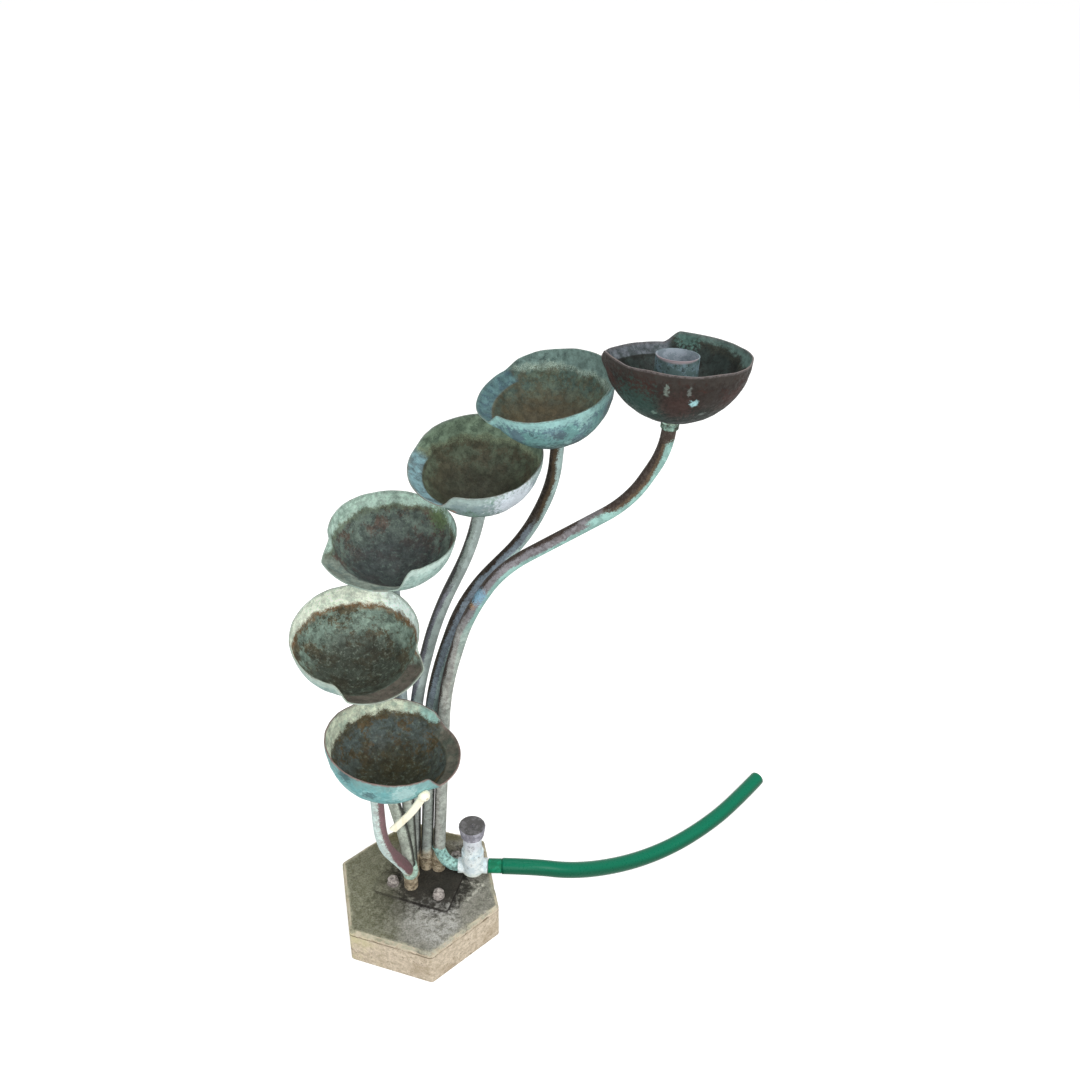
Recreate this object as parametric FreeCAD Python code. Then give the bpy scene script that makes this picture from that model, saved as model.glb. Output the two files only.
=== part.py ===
"""Cascade fountain: six copper bowls on bent copper tubes over a concrete paver.

Millimetres.  The origin is the centre of the paver's underside, +Z is up, and +X runs along the
shut-off valve towards the hose.  Water enters by the hose, passes the valve, climbs the feed pipe
(stem 1) into the cup of the top bowl, and then falls from lip to lip down the other five bowls.
"""

import FreeCAD, Part
import math
import os

Vector = FreeCAD.Vector
UP = Vector(0, 0, 1)
X_AXIS = Vector(1, 0, 0)

# Concrete paver and the steel plate bolted to it
block_flats = 200.0
block_height = 60.0
block_arris = 4.0
block_turn = 43.0
plate_side = 105.0
plate_thick = 5.0
plate_corner = 4.0
plate_turn = -17.0
plate_x = 6.6
plate_y = 18.0
plate_top = block_height + plate_thick

# Anchor studs, washers and nuts
stud_spacing = 66.0
stud_radius = 4.0
stud_embedment = 42.0
stud_stick_out = 2.5
stud_hole_gap = 0.15
plate_hole_gap = 0.5
washer_radius = 8.0
washer_thick = 1.6
nut_flats = 13.0
nut_height = 6.5
nut_bore_gap = 0.1
nut_chamfer = 0.9

# Copper tube, and the sleeves it stands in and carries bowls with
tube_radius = 8.0
tube_wall = 1.0
joint_gap = 0.1
socket_wall = 1.2
socket_height = 22.0
collar_wall = 1.8
collar_height = 9.0
bend_share = 0.45
socket_radius = tube_radius + joint_gap + socket_wall

# Where the stems stand on the plate: 1, 2 and 3 side by side in one joined socket, then 4 and 5
foot_2_x = 7.8
foot_2_y = 27.5
cluster_pitch = 2 * tube_radius + 1.0
single_pitch = 2 * socket_radius + 0.4
foot_1_towards = -8.5
foot_3_towards = 168.2
foot_4_towards = -93.0
foot_5_towards = -90.0
stem_6_height = 93.0

# How far out and how high each stem bends, as (share of its reach, height over the floor)
stem_1_bends = [(0.064, 397.0), (0.173, 506.0), (0.32, 574.0), (0.86, 661.0), (0.99, 725.0)]
stem_2_bends = [(0.10, 385.0), (0.35, 508.0), (0.79, 564.0), (0.975, 624.0)]
stem_3_bends = [(0.12, 360.0), (0.42, 468.0), (0.85, 535.0)]
stem_4_bends = [(0.05, 330.0), (0.85, 435.0)]
stem_5_bends = [(0.04, 148.0), (0.55, 262.0), (0.94, 330.0)]
stem_6_bends = [(0.31, 134.0), (0.97, 216.0)]

# Bowls: a spherical cap of sheet copper with a slit and flared pouring lip; the top one is larger
bowl_radius = 76.0
bowl_depth = 72.0
top_bowl_radius = 78.0
top_bowl_depth = 74.0
bowl_wall = 1.5
lip_strip_drop = 13.0
lip_half_angle = 43.0
lip_curl = 0.06
lip_side = 1.2
slit_width = 0.8
slit_lean = 3.0
slit_swing = 14.0
slit_overrun = 4.0

# Each bowl: rim centre, lean and its direction, pouring direction, lip reach and drop
bowl_places = [
    {"rim": (290.0, 63.6, 836.3), "lean": 9.7, "towards": 78.0, "pour": 136.0, "reach": 5.0, "drop": 13.0},
    {"rim": (157.5, 133.0, 758.3), "lean": 11.4, "towards": 198.0, "pour": 175.0, "reach": 9.0, "drop": 14.0},
    {"rim": (79.0, 131.5, 665.3), "lean": 10.3, "towards": 252.0, "pour": 202.0, "reach": 7.0, "drop": 16.0},
    {"rim": (-20.0, 98.5, 579.9), "lean": 5.9, "towards": 314.0, "pour": 246.0, "reach": 15.0, "drop": 20.0},
    {"rim": (-59.5, 13.0, 491.0), "lean": 12.2, "towards": 276.0, "pour": 307.0, "reach": 15.0, "drop": 20.0},
    {"rim": (-14.5, -63.5, 396.7), "lean": 7.4, "towards": 28.0, "pour": 0.0, "reach": 8.0, "drop": 16.0},
]
stem_6_offset = -12.5

# Feed cup and lock nut in the top bowl
cup_radius = 23.0
cup_wall = 1.2
cup_below_rim = 3.0
feed_stand_up = 14.0
feed_nut_radius = 13.0
feed_nut_height = 6.0

# Shut-off valve, laid along X; its heights are taken from the axis of its barrel
valve_x = 72.0
valve_y = 20.0
barrel_radius = 10.5
barrel_over_plate = 0.5
valve_axis_height = plate_top + barrel_over_plate + barrel_radius
valve_half_length = 20.0
port_radius = 7.0
inlet_socket_depth = 8.0
chamber_radius = 15.0
chamber_cavity = 12.0
chamber_floor = valve_axis_height - port_radius
chamber_rise = 30.0
chamber_top = valve_axis_height + chamber_rise
seat_rise = 4.5
seat_height = valve_axis_height + seat_rise
seat_thick = 2.5
seat_radius = 5.5
web_thick = 2.0

# Valve head: bonnet, packing, spindle, jumper disc, washer and knob
bonnet_radius = 12.4
bonnet_rise = 30.0
bonnet_top = chamber_top + bonnet_rise
bonnet_flats = 23.0
bonnet_hex_height = 8.0
bonnet_skirt = 7.0
bonnet_turn = 15.0
thread_radius = 5.6
shaft_radius = 4.0
running_gap = 0.05
thread_length = 20.0
packing_depth = 8.0
packing_radius = 7.5
valve_lift = 4.0
lift_spare = 1.0
thread_top = bonnet_top - packing_depth - lift_spare - valve_lift
washer_seat_gap = 0.1
rubber_radius = 8.0
rubber_thick = 2.6
disc_radius = 8.6
disc_thick = 3.0
disc_pin_radius = 2.2
disc_pin_height = 9.0
knob_radius = 18.0
knob_foot_radius = 15.5
knob_height = 18.0
knob_clearance = 2.6
knob_flutes = 18
knob_flute_radius = 1.5
knob_flute_depth = 0.8
knob_dish = 1.2
screw_head_radius = 3.6
screw_head_height = 2.2
screw_sunk = 1.0
screw_shank_radius = 1.9
screw_length = 12.0
slot_share = 0.25

# Feed branch: its corners, as (out from the foot of stem 1, over the valve's axis)
branch_corners = [(20.0, 0.0), (8.0, 14.0)]
branch_height = 34.0

# Outlet tail, green push-on sleeve and the hose
tail_seat = 6.0
tail_bore = 5.0
tail_radius = 6.8
barb_radius = 7.7
barb_length = 5.0
barb_count = 4
sleeve_radius = 10.0
sleeve_gap = 1.0
sleeve_length = 19.0
sleeve_edge = 0.8
sleeve_start = valve_x + valve_half_length + sleeve_gap
sleeve_end = sleeve_start + sleeve_length
hose_radius = 11.0
hose_bore = 8.0

# The hose lies in these points, from the sleeve down to the floor and away
hose_route = [
    (sleeve_end, valve_y, valve_axis_height),
    (156.0, valve_y, valve_axis_height),
    (203.0, 28.0, 62.0),
    (252.0, 53.5, 40.0),
    (304.0, 84.0, 21.5),
    (356.0, 116.0, 12.0),
    (405.0, 152.0, 11.3),
    (452.5, 197.0, 11.3),
    (499.5, 254.0, 11.3),
]

# Ivory drip spout under the lip of the lowest bowl
spout_turn = -50.0
spout_below_rim = 27.0
spout_boss_radius = 7.0
spout_boss_proud = 0.45
spout_hole_radius = 1.7
spout_half_width = 5.0
spout_half_thick = 2.2
spout_run = [(-14.0, -1.5, -26.0), (-38.0, -1.0, -58.0)]


def export(name, shape):
    """Write one named piece, or a group of like pieces, as its own STEP file."""
    shape.exportStep("parts/" + name + ".step")


def group(solids):
    """Several separate solids kept in one file."""
    return Part.makeCompound(solids)


def polar(radius, degrees):
    """A point at this radius and direction in the horizontal plane."""
    turn = math.radians(degrees)
    return Vector(radius * math.cos(turn), radius * math.sin(turn), 0)


def rod(start, direction, length, radius):
    """A round bar from a point along a direction."""
    return Part.makeCylinder(radius, length, start, direction)


def hexagon(flats, height, centre, turn=0.0):
    """An upright hexagonal prism, given across its flats, with its first corner at turn degrees."""
    corner = flats / math.sqrt(3.0)
    points = [centre + polar(corner, turn + 60 * side) for side in range(7)]
    return Part.Face(Part.makePolygon(points)).extrude(UP * height)


def rounded_path(points):
    """Straight runs joined by tangent arcs, each as large as its two runs allow.

    Each arc takes bend_share of the shorter run on either side of its corner.  Returns the wire, its
    length and the radii of the arcs."""
    corners = [Vector(*point) for point in points]
    edges = []
    radii = []
    start = corners[0]
    for before, corner, after in zip(corners, corners[1:], corners[2:]):
        back = before - corner
        ahead = after - corner
        reach = bend_share * min(back.Length, ahead.Length)
        back.normalize()
        ahead.normalize()
        half_turn = (math.pi - back.getAngle(ahead)) / 2
        radius = reach / math.tan(half_turn)
        inward = (back + ahead).normalize()
        middle = corner + inward * (math.hypot(radius, reach) - radius)
        arc_start = corner + back * reach
        arc_end = corner + ahead * reach
        edges.append(Part.LineSegment(start, arc_start).toShape())
        edges.append(Part.Arc(arc_start, middle, arc_end).toShape())
        radii.append(radius)
        start = arc_end
    edges.append(Part.LineSegment(start, corners[-1]).toShape())
    wire = Part.Wire(edges)
    return wire, wire.Length, radii


def swept_rod(points, radius):
    """A round rod carried along the rounded path through the points."""
    wire = rounded_path(points)[0]
    direction = Vector(*points[1]) - Vector(*points[0])
    ring = Part.Wire(Part.makeCircle(radius, Vector(*points[0]), direction))
    return wire.makePipeShell([ring], True, False)


def stem_route(foot, top, bends):
    """Points of a stem that bends in the upright plane through its foot and its top."""
    run = Vector(top.x - foot.x, top.y - foot.y, 0)
    points = [(foot.x, foot.y, foot.z)]
    for share, height in bends:
        points.append((foot.x + share * run.x, foot.y + share * run.y, height))
    points.append((top.x, top.y, top.z))
    return points


def lengthened(points, extra):
    """The same route with its last run longer by extra."""
    last = Vector(*points[-1])
    ahead = (last - Vector(*points[-2])).normalize()
    end = last + ahead * extra
    return points[:-1] + [(end.x, end.y, end.z)]


def started_lower(points, extra):
    """The same route with its first run longer by extra."""
    return lengthened(points[::-1], extra)[::-1]


def hollow_tube(points):
    """Copper tube along the rounded path through the points."""
    return swept_rod(points, tube_radius).cut(swept_rod(points, tube_radius - tube_wall))


# Concrete paver: hexagonal prism with a worn arris and four drilled stud holes

def stud_places():
    """The four stud centres, a square on the turned plate."""
    half = stud_spacing / 2
    diagonal = math.hypot(half, half)
    centre = Vector(plate_x, plate_y, 0)
    return [centre + polar(diagonal, plate_turn + 45 + 90 * corner) for corner in range(4)]


def base_block():
    block = hexagon(block_flats, block_height, Vector(0, 0, 0), block_turn)
    top_edges = [edge for edge in block.Edges if edge.BoundBox.ZMin > block_height - 0.01]
    block = block.makeChamfer(block_arris, top_edges)
    for place in stud_places():
        foot = place + UP * (block_height - stud_embedment)
        block = block.cut(rod(foot, UP, stud_embedment, stud_radius + stud_hole_gap))
    return block


def base_plate():
    plate = Part.makeBox(plate_side, plate_side, plate_thick, Vector(-plate_side / 2, -plate_side / 2, 0))
    upright = [edge for edge in plate.Edges if edge.BoundBox.ZLength > plate_thick / 2]
    plate = plate.makeFillet(plate_corner, upright)
    plate.rotate(Vector(0, 0, 0), UP, plate_turn)
    plate.translate(Vector(plate_x, plate_y, block_height))
    for place in stud_places():
        plate = plate.cut(rod(place + UP * block_height, UP, plate_thick, stud_radius + plate_hole_gap))
    return plate


def anchor_stud(place):
    length = stud_embedment + plate_thick + washer_thick + nut_height + stud_stick_out
    stud = rod(place + UP * (block_height - stud_embedment), UP, length, stud_radius)
    tip = [edge for edge in stud.Edges if edge.BoundBox.ZMin > block_height]
    return stud.makeChamfer(stud_radius / 6, tip)


def plate_washer(place):
    washer = rod(place + UP * plate_top, UP, washer_thick, washer_radius)
    return washer.cut(rod(place + UP * plate_top, UP, washer_thick, stud_radius + plate_hole_gap))


def plate_nut(place, turn):
    """A hexagon nut whose corners are turned down by a cone at both ends."""
    foot = place + UP * (plate_top + washer_thick)
    corner = nut_flats / math.sqrt(3.0)
    profile = [
        (0, 0),
        (corner - nut_chamfer, 0),
        (corner, nut_chamfer / 2),
        (corner, nut_height - nut_chamfer / 2),
        (corner - nut_chamfer, nut_height),
        (0, nut_height),
        (0, 0),
    ]
    outline = Part.makePolygon([Vector(r, 0, z) for r, z in profile])
    blank = Part.Face(outline).revolve(Vector(0, 0, 0), UP, 360)
    blank.translate(foot)
    nut = hexagon(nut_flats, nut_height, foot, turn).common(blank)
    return nut.cut(rod(foot, UP, nut_height, stud_radius + nut_bore_gap))


# Bowls: made upright about the origin with the lip towards +X, then leaned and set in place

class Cap:
    """The ball that a bowl is the lower cap of; heights are from the rim plane."""

    def __init__(self, place):
        top = place is bowl_places[0]
        self.rim_radius = top_bowl_radius if top else bowl_radius
        self.depth = top_bowl_depth if top else bowl_depth
        self.outer = (self.rim_radius ** 2 + self.depth ** 2) / (2 * self.depth)
        self.inner = self.outer - bowl_wall
        self.centre = self.outer - self.depth

    def at(self, height, radius):
        """Distance from the bowl's own axis, at this height on a ball of this radius."""
        return math.sqrt(radius ** 2 - (height - self.centre) ** 2)


def bowl_wall_shell(cap):
    """The plain spherical bowl, revolved from its section."""
    outer_rim = Vector(cap.at(0, cap.outer), 0, 0)
    inner_rim = Vector(cap.at(0, cap.inner), 0, 0)
    outer_pole = Vector(0, 0, cap.centre - cap.outer)
    inner_pole = Vector(0, 0, cap.centre - cap.inner)
    slope = math.sqrt(0.5)
    outer_mid = Vector(cap.outer * slope, 0, cap.centre - cap.outer * slope)
    inner_mid = Vector(cap.inner * slope, 0, cap.centre - cap.inner * slope)
    section = Part.Wire([
        Part.Arc(outer_pole, outer_mid, outer_rim).toShape(),
        Part.LineSegment(outer_rim, inner_rim).toShape(),
        Part.Arc(inner_rim, inner_mid, inner_pole).toShape(),
        Part.LineSegment(inner_pole, outer_pole).toShape(),
    ])
    return Part.Face(section).revolve(Vector(0, 0, 0), UP, 360)


def slit_window(cap, crease):
    """What is cut from the wall over the lip: flat along the crease, with S-curved slit edges.

    Each slit runs up the wall and then swings away from the lip, which rounds the wall's corner."""
    root = cap.at(crease, cap.outer) * math.sin(math.radians(lip_half_angle)) + slit_width
    swung = root + slit_swing
    top = slit_overrun
    right = Part.BezierCurve()
    right.setPoles([
        Vector(0, root, crease),
        Vector(0, root - slit_lean, crease * 0.45),
        Vector(0, root + slit_lean, crease * 0.05),
        Vector(0, swung, top),
    ])
    left = Part.BezierCurve()
    left.setPoles([
        Vector(0, -swung, top),
        Vector(0, -root - slit_lean, crease * 0.05),
        Vector(0, -root + slit_lean, crease * 0.45),
        Vector(0, -root, crease),
    ])
    outline = Part.Wire([
        right.toShape(),
        Part.LineSegment(Vector(0, swung, top), Vector(0, -swung, top)).toShape(),
        left.toShape(),
        Part.LineSegment(Vector(0, -root, crease), Vector(0, root, crease)).toShape(),
    ])
    return Part.Face(outline).extrude(X_AXIS * (cap.outer * 2))


def lip_strip(cap, reach, drop, crease):
    """The strip between the slits, folded outwards at the crease and curled a little at its edge.

    Its section runs a little long and is turned a little wide, then trimmed to the lip's outline."""
    root_out = Vector(cap.at(crease, cap.outer), 0, crease)
    root_in = Vector(cap.at(crease, cap.inner), 0, crease)
    edge = Vector(cap.rim_radius + reach, 0, -drop)
    ahead = (edge - root_out).normalize()
    across = Vector(-ahead.z, 0, ahead.x)
    long_out = edge + ahead * bowl_wall
    long_in = long_out + across * bowl_wall
    sag = across * (-(long_out - root_out).Length * lip_curl)
    section = Part.Wire([
        Part.LineSegment(root_in, root_out).toShape(),
        Part.Arc(root_out, (root_out + long_out) * 0.5 + sag, long_out).toShape(),
        Part.LineSegment(long_out, long_in).toShape(),
        Part.Arc(long_in, (root_in + long_in) * 0.5 + sag, root_in).toShape(),
    ])
    wide = lip_half_angle + 1
    face = Part.Face(section)
    face.rotate(Vector(0, 0, 0), UP, -wide)
    strip = face.revolve(Vector(0, 0, 0), UP, 2 * wide)
    return strip.common(lip_outline(edge.x, root_out.x + lip_side, cap.depth))


def lip_outline(radius, side_length, depth):
    """The lip seen from above, as a prism: radial sides, an arc for its edge, well rounded corners.

    Each corner's arc leaves the side at side_length and meets the edge's arc smoothly."""
    corner = (radius ** 2 - side_length ** 2) / (2 * radius)
    corner_angle = math.degrees(math.asin(corner / (radius - corner)))
    centre_angle = lip_half_angle - corner_angle
    corners = []
    for side in (1, -1):
        on_side = polar(side_length, side * lip_half_angle)
        on_edge = polar(radius, side * centre_angle)
        centre = polar(radius - corner, side * centre_angle)
        outward = (on_side + on_edge - centre * 2).normalize()
        corners.append((on_side, centre + outward * corner, on_edge))
    left, right = corners
    outline = Part.Wire([
        Part.LineSegment(Vector(0, 0, 0), left[0]).toShape(),
        Part.Arc(*left).toShape(),
        Part.Arc(left[2], Vector(radius, 0, 0), right[2]).toShape(),
        Part.Arc(*right[::-1]).toShape(),
        Part.LineSegment(right[0], Vector(0, 0, 0)).toShape(),
    ])
    prism = Part.Face(outline).extrude(UP * (2 * depth))
    prism.translate(UP * -depth)
    return prism


def leaned(place):
    """The placement that leans a bowl, turns its lip to pour and carries it to its rim centre."""
    hinge = polar(1, place["towards"] + 90)
    lean = FreeCAD.Rotation(hinge, place["lean"])
    turn = FreeCAD.Rotation(UP, place["pour"])
    return FreeCAD.Placement(Vector(*place["rim"]), lean.multiply(turn))


def bowl(place):
    cap = Cap(place)
    crease = -(place["drop"] + lip_strip_drop)
    shell = bowl_wall_shell(cap).cut(slit_window(cap, crease))
    shell = shell.fuse(lip_strip(cap, place["reach"], place["drop"], crease)).removeSplitter()
    shell.Placement = leaned(place)
    return shell


def bowl_point(place, x, y, z):
    """A point given in a bowl's own frame, before it is leaned and turned to pour."""
    return leaned(place).multVec(Vector(x, y, z))


def bowl_ball(place, clearance=0.0):
    """The full ball that the bowl's outside is a cap of, larger by a clearance."""
    cap = Cap(place)
    return Part.makeSphere(cap.outer + clearance, bowl_point(place, 0, 0, cap.centre))


def bowl_foot(place):
    """The lowest point of the bowl's outside along its own axis."""
    return bowl_point(place, 0, 0, -Cap(place).depth)


# Stems, their foot sockets and the collars under the bowls

def stem_feet():
    """Where the first five stems stand on the plate."""
    foot_2 = Vector(foot_2_x, foot_2_y, plate_top)
    foot_1 = foot_2 + polar(cluster_pitch, foot_1_towards)
    foot_3 = foot_2 + polar(cluster_pitch, foot_3_towards)
    foot_4 = foot_3 + polar(single_pitch, foot_4_towards)
    foot_5 = foot_4 + polar(single_pitch, foot_5_towards)
    return [foot_1, foot_2, foot_3, foot_4, foot_5]


def stem_routes():
    """The six routes, each from its foot to the underside of its bowl."""
    feet = stem_feet()
    bends = [stem_1_bends, stem_2_bends, stem_3_bends, stem_4_bends, stem_5_bends]
    routes = [stem_route(foot, bowl_foot(place), bend) for foot, place, bend in zip(feet, bowl_places, bends)]
    branch_foot = Vector(feet[4].x, feet[4].y, stem_6_height)
    branch_top = bowl_foot(bowl_places[5]) + X_AXIS * stem_6_offset
    routes.append(stem_route(branch_foot, branch_top, stem_6_bends))
    return routes


def foot_cut(route):
    """What is sawn off below the plate's face, to leave the foot of a leaning stem level."""
    depth = 2 * tube_radius
    return rod(Vector(*route[0]) - UP * depth, UP, depth, 2 * depth)


def stem(route, place):
    """A copper tube that ends against the outside of its bowl."""
    longer = lengthened(started_lower(route, tube_radius), tube_radius)
    return hollow_tube(longer).cut([foot_cut(route), bowl_ball(place, joint_gap)])


def feed_stem(route, branch_core):
    """Stem 1: it passes up through its bowl, and is drilled where the feed branch enters."""
    longer = lengthened(started_lower(route, tube_radius), feed_stand_up)
    return hollow_tube(longer).cut([foot_cut(route), branch_core])


def branch_stem(route, place, trunk):
    """Stem 6: it leaves the side of stem 5."""
    tube = hollow_tube(lengthened(route, tube_radius))
    return biggest(tube.cut([trunk, bowl_ball(place, joint_gap)]))


def biggest(shape):
    """The largest solid of what a cut leaves."""
    return max(shape.Solids, key=lambda solid: solid.Volume)


def foot_sockets(routes, branch):
    """Sleeves on the plate: one joined cluster for stems 1 to 3, and single ones for 4 and 5."""
    sleeves = []
    bores = []
    for route in routes[:5]:
        foot = Vector(*route[0])
        ahead = (Vector(*route[1]) - foot).normalize()
        sleeves.append(rod(foot, UP, socket_height, socket_radius))
        bores.append(rod(foot - ahead * tube_radius, ahead, socket_height + 4 * tube_radius,
                         tube_radius + joint_gap))
    cluster = sleeves[0].fuse(sleeves[1:3]).removeSplitter()
    for bore in bores[:3]:
        cluster = cluster.cut(bore)
    cluster = biggest(cluster.cut(branch))
    singles = [sleeves[number].cut(bores[number]) for number in (3, 4)]
    return group([cluster] + singles)


def collar(route, place):
    """A short sleeve round the top of a stem, shaped to the underside of the bowl."""
    end = Vector(*route[-1])
    ahead = (end - Vector(*route[-2])).normalize()
    start = end - ahead * collar_height
    sleeve = rod(start, ahead, collar_height + tube_radius, tube_radius + joint_gap + collar_wall)
    sleeve = sleeve.cut(rod(start, ahead, collar_height + tube_radius, tube_radius + joint_gap))
    return biggest(sleeve.cut(bowl_ball(place)))


# Feed cup and lock nut in the top bowl

def feed_direction(route):
    return (Vector(*route[-1]) - Vector(*route[-2])).normalize()


def feed_nut(route, place):
    """A round lock nut on the feed pipe, seated on the inside of the bowl."""
    end = Vector(*route[-1])
    ahead = feed_direction(route)
    blank = rod(end, ahead, bowl_wall + feed_nut_height, feed_nut_radius)
    blank = blank.common(bowl_ball(place, -bowl_wall))
    return blank.cut(rod(end - ahead, ahead, bowl_wall + feed_nut_height * 2, tube_radius + joint_gap))


def feed_cup(place):
    """An open tube standing in the bowl: the water wells up in it and spills over its edge."""
    foot = Vector(0, 0, -Cap(place).depth)
    height = -foot.z - cup_below_rim
    cup = rod(foot, UP, height, cup_radius).cut(rod(foot, UP, height, cup_radius - cup_wall))
    cup.Placement = leaned(place)
    return cup.common(bowl_ball(place, -bowl_wall))


# Shut-off valve

def along_x(start, end, radius):
    """A round bar along the valve's own axis between two X places."""
    return rod(Vector(start, valve_y, valve_axis_height), X_AXIS, end - start, radius)


def upright(low, high, radius):
    """A round bar on the valve's spindle axis between two heights."""
    return rod(Vector(valve_x, valve_y, low), UP, high - low, radius)


def valve_body():
    """Barrel and chamber with an S-shaped web, whose level part carries the seat."""
    inlet = valve_x - valve_half_length
    outlet = valve_x + valve_half_length
    barrel = along_x(inlet, outlet, barrel_radius)
    chamber = upright(chamber_floor - web_thick, chamber_top, chamber_radius)
    lower_rim = [edge for edge in chamber.Edges if edge.BoundBox.ZMax < seat_height]
    chamber = chamber.makeChamfer(web_thick, lower_rim)
    body = barrel.fuse(chamber)
    cavity = upright(chamber_floor, chamber_top, chamber_cavity)
    body = body.cut(along_x(inlet, outlet, port_radius)).cut(cavity)
    body = body.cut(along_x(inlet, inlet + inlet_socket_depth, tube_radius + joint_gap))
    seat = upright(seat_height - seat_thick, seat_height, chamber_cavity + web_thick / 2)
    seat = seat.cut(upright(seat_height - seat_thick, seat_height, seat_radius))
    return body.fuse([seat, web_wall(-1), web_wall(1)]).removeSplitter()


def web_wall(side):
    """An upright wall of the web: over the seat on the inlet side, under it on the outlet side."""
    reach = chamber_cavity + web_thick / 2
    middle = valve_axis_height
    low = seat_height - seat_thick if side < 0 else chamber_floor
    high = middle + port_radius + web_thick if side < 0 else seat_height
    edge = valve_x + side * chamber_cavity
    box = Part.makeBox(web_thick, 2 * reach, high - low,
                       Vector(edge - web_thick / 2 - side * web_thick / 2, valve_y - reach, low))
    return box.common(upright(low, high, reach))


def valve_bonnet():
    """The head: a skirt screwed into the chamber, a hexagon, and a round neck round the packing."""
    skirt = upright(chamber_top - bonnet_skirt, chamber_top, chamber_cavity - joint_gap)
    head = hexagon(bonnet_flats, bonnet_hex_height, Vector(valve_x, valve_y, chamber_top), bonnet_turn)
    neck = upright(chamber_top, bonnet_top, bonnet_radius)
    neck = neck.makeChamfer(web_thick, [edge for edge in neck.Edges if edge.BoundBox.ZMin > chamber_top + 1])
    head = head.fuse(neck)
    bonnet = skirt.fuse(head).removeSplitter()
    bonnet = bonnet.cut(upright(chamber_top - bonnet_skirt, bonnet_top - packing_depth, thread_radius))
    bonnet = bonnet.cut(upright(thread_top, bonnet_top, shaft_radius + running_gap))
    return bonnet.cut(upright(bonnet_top - packing_depth, bonnet_top, packing_radius))


def packing_ring():
    low = bonnet_top - packing_depth
    ring = upright(low, bonnet_top - web_thick / 2, packing_radius)
    return ring.cut(upright(low, bonnet_top, shaft_radius + running_gap))


def disc_foot():
    """Height of the rubber washer's underside with the valve shut."""
    return seat_height + washer_seat_gap


def disc_top():
    return disc_foot() + rubber_thick + disc_thick


def valve_washer():
    washer = upright(disc_foot(), disc_foot() + rubber_thick, rubber_radius)
    return washer.cut(upright(disc_foot(), disc_foot() + rubber_thick, disc_pin_radius + joint_gap))


def valve_disc():
    """The jumper: a disc with a pin up into the spindle and a stub down through its washer."""
    disc = upright(disc_foot() + rubber_thick, disc_top(), disc_radius)
    pin = upright(disc_foot() + rubber_thick / 2, disc_top() + disc_pin_height, disc_pin_radius)
    return disc.fuse(pin).removeSplitter()


def knob_base():
    return bonnet_top + knob_clearance


def knob_top():
    return knob_base() + knob_height


def screw_seat():
    """Where the head of the knob's screw bears, sunk below the knob's top."""
    return knob_top() - screw_sunk - screw_head_height


def valve_spindle():
    """Shaft with a screwed collar; its lower end is drilled for the jumper's pin."""
    low = disc_top() + running_gap
    shaft = upright(low, screw_seat(), shaft_radius)
    thread = upright(thread_top - thread_length, thread_top, thread_radius - running_gap)
    shaft = shaft.fuse(thread).removeSplitter()
    socket = upright(low, low + disc_pin_height + lift_spare, disc_pin_radius + running_gap)
    shank = upright(knob_top() - screw_length, knob_top(), screw_shank_radius)
    return shaft.cut(socket).cut(shank)


def valve_knob():
    """A tapered round knob with flutes cut down its side and a shallow dish in its top."""
    foot = Vector(valve_x, valve_y, knob_base())
    blank = Part.makeCone(knob_foot_radius, knob_radius, knob_height, foot)
    rims = [edge for edge in blank.Edges if edge.BoundBox.ZLength < 0.01]
    blank = blank.makeChamfer(knob_dish, rims)
    centre_line = knob_flute_radius - knob_flute_depth
    flutes = []
    for flute in range(knob_flutes):
        direction = 360 / knob_flutes * flute
        start = foot + polar(knob_foot_radius + centre_line, direction)
        along = polar(knob_radius - knob_foot_radius, direction) + UP * knob_height
        flutes.append(rod(start - along, along, 3 * knob_height, knob_flute_radius))
    blank = blank.cut(flutes)
    dish_foot = Vector(valve_x, valve_y, knob_top() - knob_dish)
    dish = Part.makeCone(screw_head_radius, knob_radius - 2 * knob_dish, knob_dish, dish_foot)
    return blank.cut([
        dish,
        upright(knob_base(), screw_seat(), shaft_radius),
        upright(knob_top() - screw_length, knob_top(), screw_shank_radius),
        upright(screw_seat(), knob_top(), screw_head_radius + joint_gap),
    ])


def knob_screw():
    """A round-headed screw with a cross slot, down the middle of the knob."""
    head = upright(screw_seat(), screw_seat() + screw_head_height, screw_head_radius)
    shank = upright(knob_top() - screw_length, screw_seat(), screw_shank_radius)
    screw = head.fuse(shank).removeSplitter()
    half_length = screw_head_radius * (1 - slot_share)
    half_width = screw_head_radius * slot_share / 2
    for turn in (0, 90):
        slot = Part.makeBox(2 * half_length, 2 * half_width, screw_head_height,
                            Vector(-half_length, -half_width, screw_head_height / 2))
        slot.rotate(Vector(0, 0, 0), UP, turn)
        slot.translate(Vector(valve_x, valve_y, screw_seat()))
        screw = screw.cut(slot)
    return screw


def branch_route():
    """The feed branch: out of the valve's inlet, then up into the side of stem 1."""
    foot = stem_feet()[0]
    route = [(valve_x - valve_half_length + inlet_socket_depth, valve_y, valve_axis_height)]
    for out, rise in branch_corners:
        route.append((foot.x + out, valve_y, valve_axis_height + rise))
    route.append((foot.x, foot.y, valve_axis_height + branch_height))
    return route


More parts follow.
